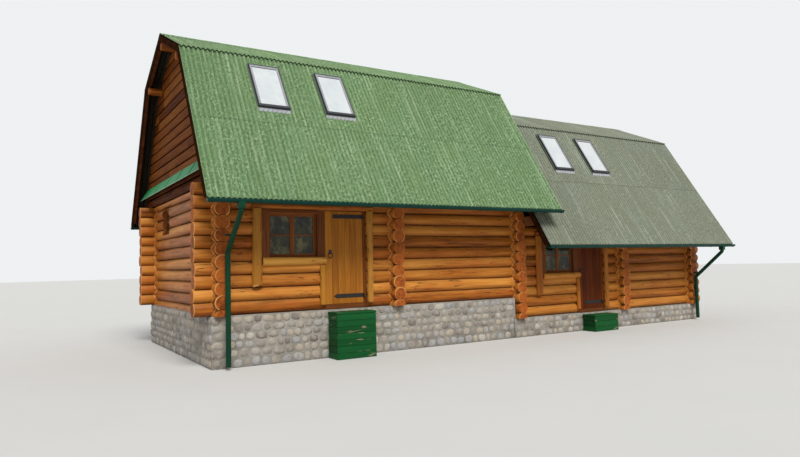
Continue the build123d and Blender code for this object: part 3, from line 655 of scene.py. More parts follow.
def addLog(shape, place, start, end, radius, seed, tone, low=None, high=None, back=None, scribed=None,
           wild=1.0, crook=0.006, freeEnds=(True, True), turned=0.0, knots=3, slant=0.0, span=None):
    # one round log along the local u; low, high and back are flat faces, scribed the log below
    rng = np.random.default_rng(seed)
    wave = rng.uniform(0, 2 * pi, 12)
    sides = logLook["sides"]
    spots, scale = logRings(start, end, logLook["step" if wild == 1.0 else "fineStep"], freeEnds)
    along, angle = np.meshgrid(spots, np.arange(sides) * 2 * pi / sides, indexing="ij")
    reach = unevenRadius(along, angle, radius, wild, knots, span or (start, end), wave, rng) * scale[:, None]
    out = reach * np.cos(angle) + crook * np.sin(2 * pi * along / 4.7 + wave[5])
    out += 0.3 * crook * np.sin(6.1 * along + wave[6])
    rise = reach * np.sin(angle) + crook * np.sin(2 * pi * along / 5.9 + wave[7]) * 0.7
    if scribed is not None:
        pitch, below = scribed
        inside = np.maximum(below ** 2 - out ** 2, 0)
        rise = np.where(rise < 0, np.maximum(rise, -pitch + np.sqrt(inside) - 0.002), rise)
    if low is not None:
        rise = np.maximum(rise, low)
    if high is not None:
        rise = np.minimum(rise, high)
    if back is not None:
        out = np.minimum(out, back)
    along = along + slant * out * (np.arange(len(spots)) == 0)[:, None]
    points = np.stack([along, out, rise], -1)
    shift = (seed * logLook["grainShift"] % 50, 0.0, 0.0)
    rows = len(spots)
    faces = gridFaces(rows, sides, True)
    inRim = np.zeros(len(faces), bool)
    if freeEnds[0]:
        inRim[:sides] = True
    if freeEnds[1]:
        inRim[-sides:] = True
    flat = points.reshape(-1, 3)
    shape.add(place(flat), [faces[~inRim], faces[inRim]], [0, 1], grain=flat + shift, tone=tone,
              turned=turned)
    for row in (0, rows - 1):
        ring = points[row]
        middle = ring.mean(0)
        inner = [middle + (ring - middle) * share for share in (1.0, 0.66, 0.33)]
        bulge = rng.uniform(-logLook["bulge"], logLook["bulge"])
        cap = np.concatenate(inner + [[middle]])
        cap[sides:2 * sides, 0] += bulge + rng.uniform(-0.0015, 0.0015, sides)
        cap[2 * sides:, 0] += bulge * 1.5
        fan = np.array([[2 * sides + i, 2 * sides + (i + 1) % sides, 3 * sides] for i in range(sides)])
        shape.add(place(cap), [gridFaces(3, sides, True), fan], 1, grain=cap + shift, tone=tone,
                  turned=turned)


def stretches(start, end, z, radius, openings):
    # what is left of a log at this height by the openings: start, end, lowest and highest face
    hit = [o for o in openings if z - radius < o[3] and z + radius > o[2] and o[0] < end and o[1] > start]
    edges = sorted({start, end} | {e for o in hit for e in o[:2] if start < e < end})
    for a, b in zip(edges, edges[1:]):
        over = [o for o in hit if o[0] <= (a + b) / 2 <= o[1]]
        if not over:
            yield a, b, None, None
            continue
        if z - radius < over[0][2] - 0.01:
            yield a, b, None, over[0][2] - z
        if z + radius > over[0][3] + 0.01:
            yield a, b, over[0][3] - z, None


def tighter(a, b, pick):
    return b if a is None else a if b is None else pick(a, b)


def logWall(name, node, place, run, centres, floorZ, topZ, openings, turned, seed, fixedEnds=(False, False)):
    # a wall of scribed logs; centres are the heights of their axes, lowest first
    shape = Shape()
    radius, pitch = cabin["logRadius"], cabin["course"]
    rng = np.random.default_rng(seed)
    for index, z in enumerate(centres):
        a = run[0] if fixedEnds[0] else run[0] + rng.uniform(0.0, 0.03)
        b = run[1] if fixedEnds[1] else run[1] - rng.uniform(0.0, 0.03)
        tone = rng.uniform(0.25, 0.85)
        at = Place(place.origin + (0, 0, z), *place.turn)
        for s0, s1, low, high in stretches(a, b, z, radius, openings):
            low = tighter(low, floorZ - z if z - radius < floorZ else None, max)
            high = tighter(high, topZ - z if z + radius > topZ else None, min)
            free = (s0 == a and not fixedEnds[0], s1 == b and not fixedEnds[1])
            addLog(shape, at, s0, s1, radius, seed * 100 + index, tone, low, high,
                   scribed=(pitch, radius) if index else None, freeEnds=free, turned=turned, span=(a, b))
    shape.make(name, [logSide, logCut], "root", "round_logs", [node], sharp=50)


def frontOpenings(section):
    x, z = section["axes"][0], section["base"]
    doorway = (x + bay["doorX"] - bay["jamb"], x + bay["doorX"] + bay["doorW"] + bay["jamb"], z,
               z + bay["sill"] + bay["doorH"] + bay["jamb"])
    window = (x + bay["windowX"], doorway[0], z + bay["windowZ"], z + bay["windowZ"] + bay["windowH"])
    return [doorway, window]


def rearOpenings(section):
    x, z = section["axes"][0] + bay["rearX"], section["base"] + bay["windowZ"]
    return [(x, x + bay["windowW"], z, z + bay["windowH"])]


def endOpenings(section):
    z = section["base"] + endWindow["sill"]
    return [(endWindow["y"], endWindow["y"] + endWindow["wide"], z, z + endWindow["tall"])]


def crossOpenings(section):
    half, z = bay["doorW"] / 2, section["base"]
    return [(-half, half, z, z + bay["sill"] + bay["doorH"])]


# Log walls; those at the party wall have sawn ends, and it rises from the lower base to the higher top
pitch, wallY, logEnd = cabin["course"], cabin["wallY"], cabin["logEnd"]
for section in (left, right):
    side, base = section["name"], section["base"]
    heights = [base + (i + 0.5) * pitch for i in range(section["courses"])]
    sawn = (section is right, section is left)
    for face, y, openings in (("front", -wallY, frontOpenings(section)),
                              ("rear", wallY, rearOpenings(section))):
        spot = Place((0, y, 0))
        logWall(f"{face}Logs{side.title()}", f"{face}_wall_{side}", spot, section["logs"], heights, base,
                section["top"], openings, 0.0, 11 + len(bpy.data.objects), sawn)
partyCourses = round((left["top"] - right["base"]) / pitch)
for name, node, section, axis, courses, openings in (
        ("endLogsLeft", "left_end_wall", left, 0, left["courses"], endOpenings(left)),
        ("crossLogsLeft", "cross_wall_left", left, 1, left["courses"], crossOpenings(left)),
        ("partyLogs", "party_wall", right, 0, partyCourses, []),
        ("crossLogsRight", "cross_wall_right", right, 1, right["courses"], crossOpenings(right)),
        ("endLogsRight", "right_end_wall", right, 2, right["courses"], endOpenings(right))):
    spot = Place((section["axes"][axis], 0, 0), (0, 1, 0), (-1, 0, 0), (0, 0, 1))
    heights = [section["base"] + i * pitch for i in range(courses + 1)]
    logWall(name, node, spot, (-logEnd, logEnd), heights, section["base"], heights[-1], openings, 1.0,
            40 + len(bpy.data.objects))
print("log walls made")


# Roof geometry, the same planes as the frame's sheets

def lowY(section, z, depth):
    a = cabin["slopeLow"]
    return -section["kneeY"] - (section["knee"] - z) * cos(a) / sin(a) + depth / sin(a)


def highZ(section, y, depth):
    b = cabin["slopeHigh"]
    return section["ridge"] - abs(y) * sin(b) / cos(b) - depth / cos(b)


def slopePlace(section, side, high):
    # local frame on a slope: x, up the slope from the knee, and out of the roof
    angle = cabin["slopeHigh" if high else "slopeLow"]
    return Place((0, side * section["kneeY"], section["knee"]), (1, 0, 0),
                 (0, -side * cos(angle), sin(angle)), (0, side * sin(angle), cos(angle)))


sheetLook = {"wave": 0.095, "depth": 0.033, "thick": 0.0030, "cover": 0.855, "lapX": 0.05, "lapV": 0.10,
             "firstTop": -1.98, "kneeGap": 0.015, "highFoot": -0.055, "shade": 0.020, "droop": 0.0008,
             "lift": (0.001, 0.002), "hole": (0.02, 0.64, -1.53, -0.37), "closure": (0.010, 0.026, -0.062),
             "nailEvery": 0.52, "nail": (0.0085, 0.005)}


def corrugated(shape, place, x0, x1, v0, v1, wave0, tone, lift, holes=(), holeRows=()):
    # one sheet: top and bottom faces with their edges, less the faces inside the holes
    look = sheetLook
    xs = np.linspace(x0, x1, max(6, int(round((x1 - x0) / look["wave"] * 8))) + 1)
    vs = np.array(sorted(set(np.round(np.linspace(v0, v1, 6), 4)) | {v for v in holeRows if v0 < v < v1}))
    gridX, gridV = np.meshgrid(xs, vs, indexing="xy")
    wave = 0.5 + 0.5 * np.cos(2 * pi * (gridX - wave0) / look["wave"])
    out = -look["depth"] * (1 - wave) - look["lift"][0] * (gridX - x0) / (x1 - x0)
    out = out - lift * (gridV - v0) / (v1 - v0)
    out = out - look["droop"] * np.abs(np.sin(gridX * 3.1) * np.sin(gridV * 2.3 + 1.0))
    top = np.stack([gridX, gridV, out], -1).reshape(-1, 3)
    bottom = top - (0, 0, look["thick"])
    faces, rim = shellFaces(*gridX.shape)
    centre = top[faces].mean(1)
    keep = np.ones(len(faces), bool)
    for hx0, hx1, hv0, hv1 in holes:
        inside = (centre[:, 0] > hx0) & (centre[:, 0] < hx1) & (centre[:, 1] > hv0) & (centre[:, 1] < hv1)
        keep &= ~inside
    margin = np.minimum(gridV - v0, v1 - gridV - look["shade"])
    crest, edge = (np.concatenate([values.ravel()] * 2) for values in (wave, margin))
    lay = np.concatenate([top, top]) * (1, 1, 0) + (tone * 13.0, 0, 0)
    shape.add(place(np.concatenate([top, bottom])), [faces[keep], rim, faces[keep][:, ::-1] + len(top)],
              [0, 0, 1], lay=lay, crest=crest, tone=tone, edge=edge)


def closureStrip(shape, place, x0, x1, lowest):
    # dark strip between the sheets' lower ends and the rafters, cut to the waves
    look = sheetLook
    first, last, foot = look["closure"]
    xs = np.linspace(x0 + 0.004, x1 - 0.004, int((x1 - x0) / look["wave"] * 8))
    under = -look["depth"] * (0.5 - 0.5 * np.cos(2 * pi * (xs - x0) / look["wave"])) - 0.0058
    level = np.full(len(xs), foot)
    near, far = np.full(len(xs), lowest + first), np.full(len(xs), lowest + last)
    ring = [np.stack([xs, v, n], -1) for v, n in ((near, level), (near, under), (far, under), (far, level))]
    ends = [np.array([[3, 2, 1, 0]]), np.array([range(4)]) + 4 * len(xs) - 4]
    shape.add(place(np.stack(ring, 1).reshape(-1, 3)), [gridFaces(len(xs), 4, True)] + ends, 1,
              lay=(0, 0, 0), crest=0.0, tone=0.0, edge=1.0)


def sheetNails(shape, place, x0, x1, v0, v1, holes):
    # nails on every second crest, clear of the roof windows
    look = sheetLook
    for v in np.linspace(v0, v1, int((v1 - v0) / look["nailEvery"]) + 2):
        for x in np.arange(x0, x1, 2 * look["wave"]) + look["wave"]:
            inHole = any(h[0] - 0.12 < x < h[1] + 0.12 and h[2] - 0.1 < v < h[3] + 0.1 for h in holes)
            if x <= x1 - 0.02 and not inHole:
                dome(shape, place, (x, v, -0.0022), *look["nail"], 6, lay=(x, v, 0), crest=0.75, tone=0.5,
                     edge=1.0)


def coverSlopes(section, side, material, slotName, seed):
    rng = np.random.default_rng(seed)
    shape = Shape()
    look = sheetLook
    x0, x1 = section["roof"]
    low, high = slopePlace(section, side, False), slopePlace(section, side, True)
    lowest = -(section["knee"] - section["eave"]) / sin(cabin["slopeLow"])
    topEnd = section["kneeY"] / cos(cabin["slopeHigh"]) - 0.004
    ha, hb, va, vb = look["hole"]
    holes = [(x + ha, x + hb, va, vb) for x in section["roofWindows"]] if side < 0 else []
    rows = ((low, lowest, look["firstTop"] + look["lapV"], look["lift"][1], (0.0, 0.006)),
            (low, look["firstTop"], -look["kneeGap"], 0.0, (-0.004, 0.004)),
            (high, look["highFoot"], topEnd, 0.0, (-0.004, 0.004)))
    edges = list(np.arange(x0, x1 - 0.3, look["cover"])) + [x1]
    for a, b in zip(edges, edges[1:]):
        end = b if b == x1 else b + look["lapX"]
        for place, v0, v1, lift, jog in rows:
            cuts = (holes, (va, vb)) if holes and place is low else ((), ())
            corrugated(shape, place, a, end, v0 + rng.uniform(*jog), v1, x0, rng.uniform(0, 1), lift, *cuts)
    closureStrip(shape, low, x0, x1, lowest)
    sheetNails(shape, low, x0, x1, lowest + 0.06, -0.09, holes)
    sheetNails(shape, high, x0, x1, 0.0, topEnd - 0.25, [])
    faceName = "front" if side < 0 else "rear"
    shape.make(f"{faceName}Sheets{section['name'].title()}", [material, sheetBack], "root", slotName,
               [f"roof_sheets_{faceName}_{section['name']}"], sharp=60, recalc=False)


# Ridge caps: short lengths that lap, with a rounded crest and turned down edges
capLook = {"length": 1.0, "lap": 0.06, "thick": 0.004, "seat": 0.0045, "turnedDown": 0.014,
           "across": (0.030, 0.060, 0.100, 0.150, 0.188, 0.190)}


def ridgeCaps(section, material, replaced):
    shape = Shape()
    rng = np.random.default_rng(3)
    x0, x1 = section["roof"]
    angle = cabin["slopeHigh"]
    half = np.array(capLook["across"])
    y = np.concatenate([-half[::-1], [0.0], half]) * cos(angle)
    z = section["ridge"] + capLook["seat"] - (np.sqrt(y ** 2 + 0.02 ** 2) - 0.012) * np.tan(angle)
    z[[0, -1]] -= capLook["turnedDown"]
    starts = list(np.arange(x0, x1 - 0.3, capLook["length"])) + [x1]
    for a, b in zip(starts, starts[1:]):
        xs = np.array([a, a + 0.02, (a + b) / 2, b - 0.02, b if b == x1 else b + capLook["lap"]])
        lift = np.array([0.0, 0.0, -0.001, -0.003, -0.0045])
        gridY, gridX = np.meshgrid(y, xs)
        top = np.stack([gridX, gridY, z[None, :] + lift[:, None]], -1).reshape(-1, 3)
        both = np.concatenate([top, top - (0, 0, capLook["thick"])])
        faces, rim = shellFaces(len(xs), len(y))
        shape.add(both, [faces, rim, faces[:, ::-1] + len(top)], 0, lay=both[:, [0, 1, 1]] * (1, 1, 0),
                  crest=0.9, tone=rng.uniform(0.6, 1.0), edge=1.0)
    shape.make(f"ridgeCaps{section['name'].title()}", [material], "root", "left_roof_sheet", replaced)


for section, material, slotName in ((left, leftSheet, "left_roof_sheet"),
                                    (right, rightSheet, "right_roof_sheet")):
    for side in (-1, 1):
        coverSlopes(section, side, material, slotName, 5 + side)
ridgeCaps(left, leftSheet, ["ridge_caps"])
ridgeCaps(right, rightSheet, [])
print("roof sheets made")


# Gable cladding: convex boards with a groove between, on a plain backing

# Sizes of the flashing over the boards' foot, and of the boards
stripLook = {"head": 0.53, "tall": 0.28, "out": 0.16, "seam": 1.1, "drop": 0.23, "hem": 0.012}
boardLook = {"pitch": 0.23, "gap": 0.018, "round": 0.020, "proud": 0.022, "front": 0.0225, "rear": 0.030,
             "backing": (0.028, 0.050), "foot": 0.001, "joint": 0.0015, "twist": 0.0015, "nailEvery": 0.6}


def gableLimit(section, z):
    # half width of the gable under the sheets at this height
    depth = cabin["sheet"] + 0.0006
    slope = -lowY(section, z, depth)
    b = cabin["slopeHigh"]
    top = (section["ridge"] - depth / cos(b) - z) * cos(b) / sin(b)
    return max(0.0, min(slope, top))


def boardEnds(rng):
    # places of the butt joints in one row of boards, past the gable on both sides
    inner = rng.choice(np.arange(-3.0, 3.1, 0.6), rng.integers(1, 3), replace=False)
    return [-5.0] + sorted(inner) + [5.0]


def gableBoard(shape, face, outward, section, zs, out, a, b, tone, twist):
    # one board between two joints, cut to the slope of the roof
    look = boardLook
    limits = np.array([gableLimit(section, v) for v in zs])
    ya = np.clip(a + look["joint"], -limits, limits)
    yb = np.clip(b - look["joint"], -limits, limits)
    front = []
    for start, end, z, rise in zip(ya, yb, zs, out):
        for y, turn in ((start, twist[0]), ((start + end) / 2, 0.0), (end, twist[1])):
            front.append((face - outward * (look["front"] - rise + turn), y, z))
    front = np.array(front)
    rear = front.copy()
    rear[:, 0] = face - outward * look["rear"]
    faces, rim = shellFaces(len(zs), 3)
    # the groove faces take the near-black third material: painted shade in the grooves between boards
    groove = np.zeros(len(faces), bool)
    groove[[0, 1, -2, -1]] = True
    both = np.concatenate([front, rear])
    shape.add(both, [faces[groove], faces[~groove], rim, faces[:, ::-1] + len(front)], [2, 0, 0, 0],
              grain=both[:, [1, 2, 0]] + (tone * 31.0, 0, 0), tone=tone)


def gableBoards(name, node, section, face, outward):
    shape = Shape()
    rng = np.random.default_rng(len(name) * 7)
    look = boardLook
    foot = section["top"] + look["foot"]
    peak = highZ(section, 0, cabin["sheet"] + 0.001)
    gap, soft = look["gap"] / look["pitch"], (look["gap"] + look["round"]) / look["pitch"]
    level = np.array([0.0, gap, gap + 0.01, soft, 0.5, 1 - soft, 0.99 - gap, 1 - gap, 1.0])
    out = np.array([0.0, 0.0, 0.5, 0.9, 1.0, 0.9, 0.5, 0.0, 0.0]) * look["proud"]
    z = foot
    while z < peak - 0.01:
        tall = min(look["pitch"], peak - z)
        zs = z + level * tall
        joints = boardEnds(rng)
        for a, b in zip(joints, joints[1:]):
            widest = max(gableLimit(section, v) for v in zs)
            if min(b - look["joint"], widest) - max(a + look["joint"], -widest) < 0.02:
                continue
            # boards under the flashing get tone 0, the darkest: painted shade under the strip
            tone = rng.uniform(0.1, 0.95) if z > foot + stripLook["drop"] else 0.0
            gableBoard(shape, face, outward, section, zs, out, a, b, tone,
                       rng.uniform(-look["twist"], look["twist"], 2))
            middle = z + tall / 2
            reach = gableLimit(section, middle)
            for y in np.arange(-3.6, 3.7, look["nailEvery"]):
                if max(a, -reach) + 0.02 < y < min(b, reach) - 0.02:
                    spot = Place((face - outward * 0.0015, y, middle), (0, 1, 0), (0, 0, 1), (outward, 0, 0))
                    dome(shape, spot, (0, 0, 0), 0.004, 0.0012, 6, 1, grain=(0, 0, 0), tone=0.2)
        z += look["pitch"]
    knee = section["knee"] - 0.06
    outline = [(-gableLimit(section, foot), foot), (-gableLimit(section, knee), knee), (0, peak)]
    outline += [(-y, v) for y, v in reversed(outline[:-1])]
    both = np.array([(face - outward * depth, y, v) for depth in look["backing"] for y, v in outline])
    count = len(outline)
    ends = [np.array([range(count)]), np.array([range(count, 2 * count)])[:, ::-1]]
    shape.add(both, ends + [prismSides(count)], grain=both[:, [1, 2, 0]], tone=0.35)
    shape.make(name, [gableWood, iron, grooveShade], "root", "gable_boards", [node])


gableBoards("gableBoardsLeft", "gable_left", left, gableFace["left"], -1)
gableBoards("gableBoardsRight", "gable_right", right, gableFace["right"], 1)
gableBoards("gableBoardsStep", "gable_step", left, gableFace["step"], 1)

# Purlins: round beams under the rafters that carry the upper slopes and show at the verges
purlinLook = {"radius": 0.084, "across": (0.0, -1.48, 1.48), "depth": 0.0403 + 0.150 + 0.085}
shape = Shape()
for section in (left, right):
    for index, y in enumerate(purlinLook["across"]):
        spot = Place((0, y, highZ(section, y, purlinLook["depth"])))
        # tone 0.3 makes the purlins darker than most wall logs: painted shade under the roof
        addLog(shape, spot, *section["purlins"], purlinLook["radius"], 700 + index, 0.3, crook=0.002,
               wild=0.9)
shape.make("purlinPoles", [logSide, logCut], "root", "sawn_timber", ["purlins"], sharp=50)


def gableStrip(section, face, outward, replaced):
    # leaning flashing at the foot of an end gable, with standing seams and a rolled edge
    look = stripLook
    shape = Shape()
    z1 = section["top"] + look["head"]
    z0 = z1 - look["tall"]
    ya, yb = -lowY(section, z1, 0.045), -lowY(section, z0, 0.045)
    xa, xb = face + outward * cabin["seat"], face + outward * look["out"]
    near = np.array([(xa, -ya, z1), (xa, ya, z1), (xb, yb, z0), (xb, -yb, z0)])
    far = near + (outward * 0.0035, 0, 0.002)
    sheetFaces = [[0, 1, 2, 3], [7, 6, 5, 4], [0, 4, 5, 1], [1, 5, 6, 2], [2, 6, 7, 3], [3, 7, 4, 0]]
    shape.add(np.concatenate([near, far]), np.array(sheetFaces))
    down = Vector((outward * look["out"], 0, z0 - z1)).normalized()
    spot = Place((face, 0, z1), (0, 1, 0), tuple(down), (outward * abs(down.z), 0, abs(down.x)))
    length = sqrt(look["tall"] ** 2 + look["out"] ** 2)
    for y in np.arange(-3.0, 3.1, look["seam"]):
        bar(shape, spot, (y - 0.006, 0.01, 0.002), (y + 0.006, length - 0.004, 0.016), 0.003)
    half = yb - 0.01
    bar(shape, spot, (-half, length - look["hem"], -0.006), (half, length + 0.002, 0.008), 0.004, slot=1)
    name = f"gableStrip{section['name'].title()}"
    shape.make(name, [stripSteel, hemSteel], "root", "green_steel", replaced)


gableStrip(left, gableFace["left"], -1, ["pent_strips"])
gableStrip(right, gableFace["right"], 1, [])
print("gables made")


# Roof windows: dark rim, pale sash, pane, dark lip at the foot, thin seals and a ribbed apron

roofWindowLook = {"wide": 0.66, "tall": 1.20, "foot": -1.55, "rim": 0.020, "sash": 0.042, "head": 0.055,
                  "lip": 0.062, "seal": 0.030, "apron": 0.115, "base": -0.04}


def apronSheet(shape, place, x, x0, x1, start):
    # pleated strip that dips from the lip into the valleys of the sheets
    xs = np.linspace(x0, x1, 64)
    vs = np.array([-roofWindowLook["apron"], -0.09, -0.06, -0.028])
    dip = np.array([0.030, 0.026, 0.012, 0.0])
    gridX, gridV = np.meshgrid(xs, vs)
    wave = 0.5 + 0.5 * np.cos(2 * pi * (gridX + x - start) / sheetLook["wave"])
    top = np.stack([gridX, gridV, 0.0055 - dip[:, None] * (1 - wave)], -1).reshape(-1, 3)
    faces, rim = shellFaces(len(vs), len(xs))
    shape.add(place(np.concatenate([top, top - (0, 0, 0.002)])), [faces, rim, faces[:, ::-1] + len(top)])


def roofWindow(frameShape, paneShape, flashShape, place):
    look = roofWindowLook
    w, h, rim, base, seal = look["wide"], look["tall"], look["rim"], look["base"], look["seal"]
    inner, top = rim + look["sash"], h - rim
    sashHead = top - look["head"]
    dark = (((0, 0, base), (rim, h, 0.050)), ((w - rim, 0, base), (w, h, 0.050)),
            ((rim, top, base), (w - rim, h, 0.050)), ((rim, 0, base), (w - rim, 0.030, 0.040)),
            ((-0.004, -0.030, -0.004), (w + 0.004, look["lip"] - 0.030, 0.0590)),
            # the last dark bar, under the sash head, is a painted shadow across the top of the pane
            ((inner, sashHead - 0.010, 0.0), (w - inner, sashHead, 0.041)))
    pale = (((rim - 0.001, 0.030, 0.0), (inner, top + 0.001, 0.0455)),
            ((w - inner, 0.030, 0.0), (w - rim + 0.001, top + 0.001, 0.0455)),
            ((inner, sashHead, 0.0), (w - inner, top + 0.001, 0.0465)),
            ((inner, 0.030, 0.0), (w - inner, 0.045, 0.0400)))
    for slot, blocks in enumerate((dark, pale)):
        for low, high in blocks:
            bar(frameShape, place, low, high, 0.003, slot=slot)
    bar(paneShape, place, (inner - 0.007, 0.038, 0.030), (w - inner + 0.007, sashHead, 0.036), 0.001)
    for low, high in (((-seal, -0.03, -0.004), (0.002, h + seal, 0.005)),
                      ((w - 0.002, -0.03, -0.004), (w + seal, h + seal, 0.005)),
                      ((0.0, h - 0.002, -0.004), (w, h + 2 * seal, 0.0055))):
        bar(flashShape, place, low, high, 0.0015, slot=1)


for section in (left, right):
    frameShape, paneShape, flashShape = Shape(), Shape(), Shape()
    slope = slopePlace(section, -1, False)
    for x in section["roofWindows"]:
        place = Place(slope((x, roofWindowLook["foot"], 0.0)), *slope.turn)
        roofWindow(frameShape, paneShape, flashShape, place)
        apronSheet(flashShape, place, x, -0.01, roofWindowLook["wide"] + 0.01, section["roof"][0])
    for shape, label, materials, slotName, node in (
            (frameShape, "Frames", [roofMetal, sashMetal], "grey_aluminium", "roof_window_frames"),
            (paneShape, "Panes", [roofGlass], "clear_glass", "roof_window_glass"),
            (flashShape, "Flashing", [lead, sealStrip], "grey_aluminium", "roof_window_aprons")):
        shape.make(f"roofWindow{label}{section['name'].title()}", materials, "root", slotName,
                   [node] if section is left else [])


# Wall windows: frame, two casements with a middle bar each, and panes

windowLook = {"frame": 0.038, "depth": 0.090, "sash": 0.034, "post": 0.024, "muntin": 0.013, "cover": 0.017,
              "lining": 0.098}


def casement(frameShape, paneShape, place, x0, x1, y0, y1, rng):
    # one sash with a middle bar and its pane
    sash, muntin = windowLook["sash"], windowLook["muntin"]
    near, far, middle = 0.002, 0.034, (y0 + y1) / 2
    for low, high, along in (((x0, y0, near), (x0 + sash, y1, far), 1),
                             ((x1 - sash, y0, near), (x1, y1, far), 1),
                             ((x0 + sash, y0, near), (x1 - sash, y0 + sash, far), 0),
                             ((x0 + sash, y1 - sash, near), (x1 - sash, y1, far), 0),
                             ((x0 + sash, middle - muntin, near + 0.006),
                              (x1 - sash, middle + muntin, far - 0.006), 0)):
        bar(frameShape, place, low, high, 0.003, rng.uniform(0.4, 0.8), along, seed=rng.uniform(0, 9))
    rebate = sash - 0.008
    bar(paneShape, place, (x0 + rebate, y0 + rebate, 0.015), (x1 - rebate, y1 - rebate, 0.021), 0.001)


def wallWindow(frameShape, paneShape, place, width, height, seed):
    # local frame: along the wall, up, and out of the room
    rng = np.random.default_rng(seed)
    f, d, post = windowLook["frame"], windowLook["depth"] / 2, windowLook["post"]
    half = width / 2
    for low, high, along in (((0, 0, -d), (f, height, d), 1), ((width - f, 0, -d), (width, height, d), 1),
                             ((f, 0, -d), (width - f, f, d), 0),
                             ((f, height - f, -d), (width - f, height, d), 0),
                             ((half - post, f, -d), (half + post, height - f, d - 0.004), 1)):
        bar(frameShape, place, low, high, 0.004, rng.uniform(0.3, 0.7), along, seed=rng.uniform(0, 9))
    for x0, x1 in ((f - 0.006, half - post + 0.008), (half + post - 0.008, width - f + 0.006)):
        casement(frameShape, paneShape, place, x0, x1, f - 0.006, height - f + 0.006, rng)
    bar(frameShape, place, (-0.004, -0.004, d - 0.002), (width + 0.004, 0.022, d + 0.022), 0.004, 0.5, 0)


def coverBoards(shape, section):
    # boards on the logs from the post to the window and up to the header, and linings of the opening
    x, z = section["axes"][0], section["base"] + bay["windowZ"]
    place = Place((x, -wallY - cabin["logRadius"] - cabin["seat"], z))
    a, b, tall = bay["windowX"], bay["windowX"] + bay["windowW"], bay["windowH"]
    lip, thick, deep = a - 0.15, windowLook["cover"], windowLook["lining"]
    top = bay["sill"] + bay["doorH"] - bay["windowZ"] + 0.003
    for low, high, along in (((lip, -thick, -0.01), (a, 0.0, tall - 0.004), 2),
                             ((lip, -thick, tall - 0.004), (bay["doorX"] - bay["jamb"], 0.0, top), 0),
                             ((a - 0.018, 0.0, 0.0), (a - 0.0005, deep, tall), 2),
                             ((a, 0.0, tall + 0.0005), (b, deep, tall + 0.015), 0)):
        bar(shape, place, low, high, 0.004, 0.35, along, seed=low[0] * 5)


frameShape, paneShape = Shape(), Shape()
size = bay["windowW"], bay["windowH"]
for section in (left, right):
    x, z = section["axes"][0], section["base"] + bay["windowZ"]
    front = Place((x + bay["windowX"], -wallY, z), (1, 0, 0), (0, 0, 1), (0, -1, 0))
    rear = Place((x + bay["rearX"] + bay["windowW"], wallY, z), (-1, 0, 0), (0, 0, 1), (0, 1, 0))
    wallWindow(frameShape, paneShape, front, *size, 1)
    wallWindow(frameShape, paneShape, rear, *size, 2)
    coverBoards(frameShape, section)
for section, x, y, outward, seed in ((left, left["axes"][0], endWindow["y"] + endWindow["wide"], -1, 3),
                                     (right, right["axes"][2], endWindow["y"], 1, 4)):
    place = Place((x, y, section["base"] + endWindow["sill"]), (0, outward, 0), (0, 0, 1), (outward, 0, 0))
    wallWindow(frameShape, paneShape, place, endWindow["wide"], endWindow["tall"], seed)
frameShape.make("windowFrames", [frameWood], "root", "red_brown_joinery", ["window_frames"])
paneShape.make("windowPanes", [glass], "root", "clear_glass", ["window_glass"])
print("windows made")


# Doors

doorLook = {"face": -2.815, "thick": 0.030, "planks": 6, "joint": 0.001,
            "ledges": ((0.18, 0.30), (1.60, 1.72)), "ledgeIn": 0.04,
            "straps": ((0.16, 0.07), (1.81, 0.004)), "strapWide": 0.084, "strapLong": 0.69,
            "strapThick": 0.0072, "studs": (0.07, 0.22, 0.37, 0.52), "ring": (0.11, 1.0)}
jambLook = {"deep": 0.10, "stop": 0.012, "stopFront": -0.045}


def doorLeaf(section, material, slotName, rng):
    # planks side by side with two ledges behind them
    shape = Shape()
    look = doorLook
    place = Place((section["axes"][0] + bay["doorX"], look["face"], section["base"] + bay["sill"]))
    widths = rng.uniform(0.85, 1.15, look["planks"])
    edges = np.concatenate([[0], np.cumsum(widths) / widths.sum()]) * bay["doorW"]
    for k, (a, b) in enumerate(zip(edges, edges[1:])):
        tone = 0.85 if k == 0 else rng.uniform(0.25, 0.75)
        bar(shape, place, (a + look["joint"], 0.0, 0.0), (b - look["joint"], look["thick"], bay["doorH"]),
            0.005, tone, 2, seed=rng.uniform(0, 9))
    a, b, back = look["ledgeIn"], bay["doorW"] - look["ledgeIn"], look["thick"] + 0.015
    for low, high in look["ledges"]:
        bar(shape, place, (a, look["thick"], low), (b, back, high), 0.004, 0.4, 0, seed=rng.uniform(0, 9))
    side = section["name"]
    shape.make(f"doorPlanks{side.title()}", [material], f"{side}_door", slotName, [f"door_{side}"])


def strapPlate(shape, place, length, wide, thick, point):
    # flat bar that ends in a point
    half = wide / 2
    outline = [(0, -half), (length - point, -half), (length, 0), (length - point, half), (0, half)]
    back = np.array([(u, v, 0.0002) for u, v in outline])
    front = np.array([(u * 0.998 + 0.0006, v * 0.97, thick) for u, v in outline])
    count = len(outline)
    ends = [np.array([range(count)]), np.array([range(count, 2 * count)])]
    shape.add(place(np.concatenate([back, front])), ends + [prismSides(count)], grain=(0, 0, 0))


def doorIron(section):
    # strap plates with their studs, and the plate above the ring
    shape = Shape()
    look = doorLook
    x, z = section["axes"][0] + bay["doorX"], section["base"] + bay["sill"]
    for height, point in look["straps"]:
        place = Place((x + bay["doorW"] - 0.003, look["face"], z + height), (-1, 0, 0), (0, 0, 1), (0, -1, 0))
        strapPlate(shape, place, look["strapLong"], look["strapWide"], look["strapThick"], point)
        for u in look["studs"]:
            dome(shape, place, (u, 0.0, look["strapThick"] - 0.0001), 0.012, 0.006, 12, grain=(0, 0, 0))
    plate = Place((x + look["ring"][0], look["face"] - 0.0002, z + look["ring"][1]), (1, 0, 0), (0, 0, 1),
                  (0, -1, 0))
    bar(shape, plate, (-0.034, 0.040, 0.0), (0.034, 0.120, 0.003), 0.0014)
    for v in (0.050, 0.110):
        for u in (-0.024, 0.024):
            dome(shape, plate, (u, v, 0.003), 0.006, 0.0035, 10, grain=(0, 0, 0))
    side = section["name"]
    shape.make(f"doorStuds{side.title()}", [iron], f"{side}_door", "black_iron")


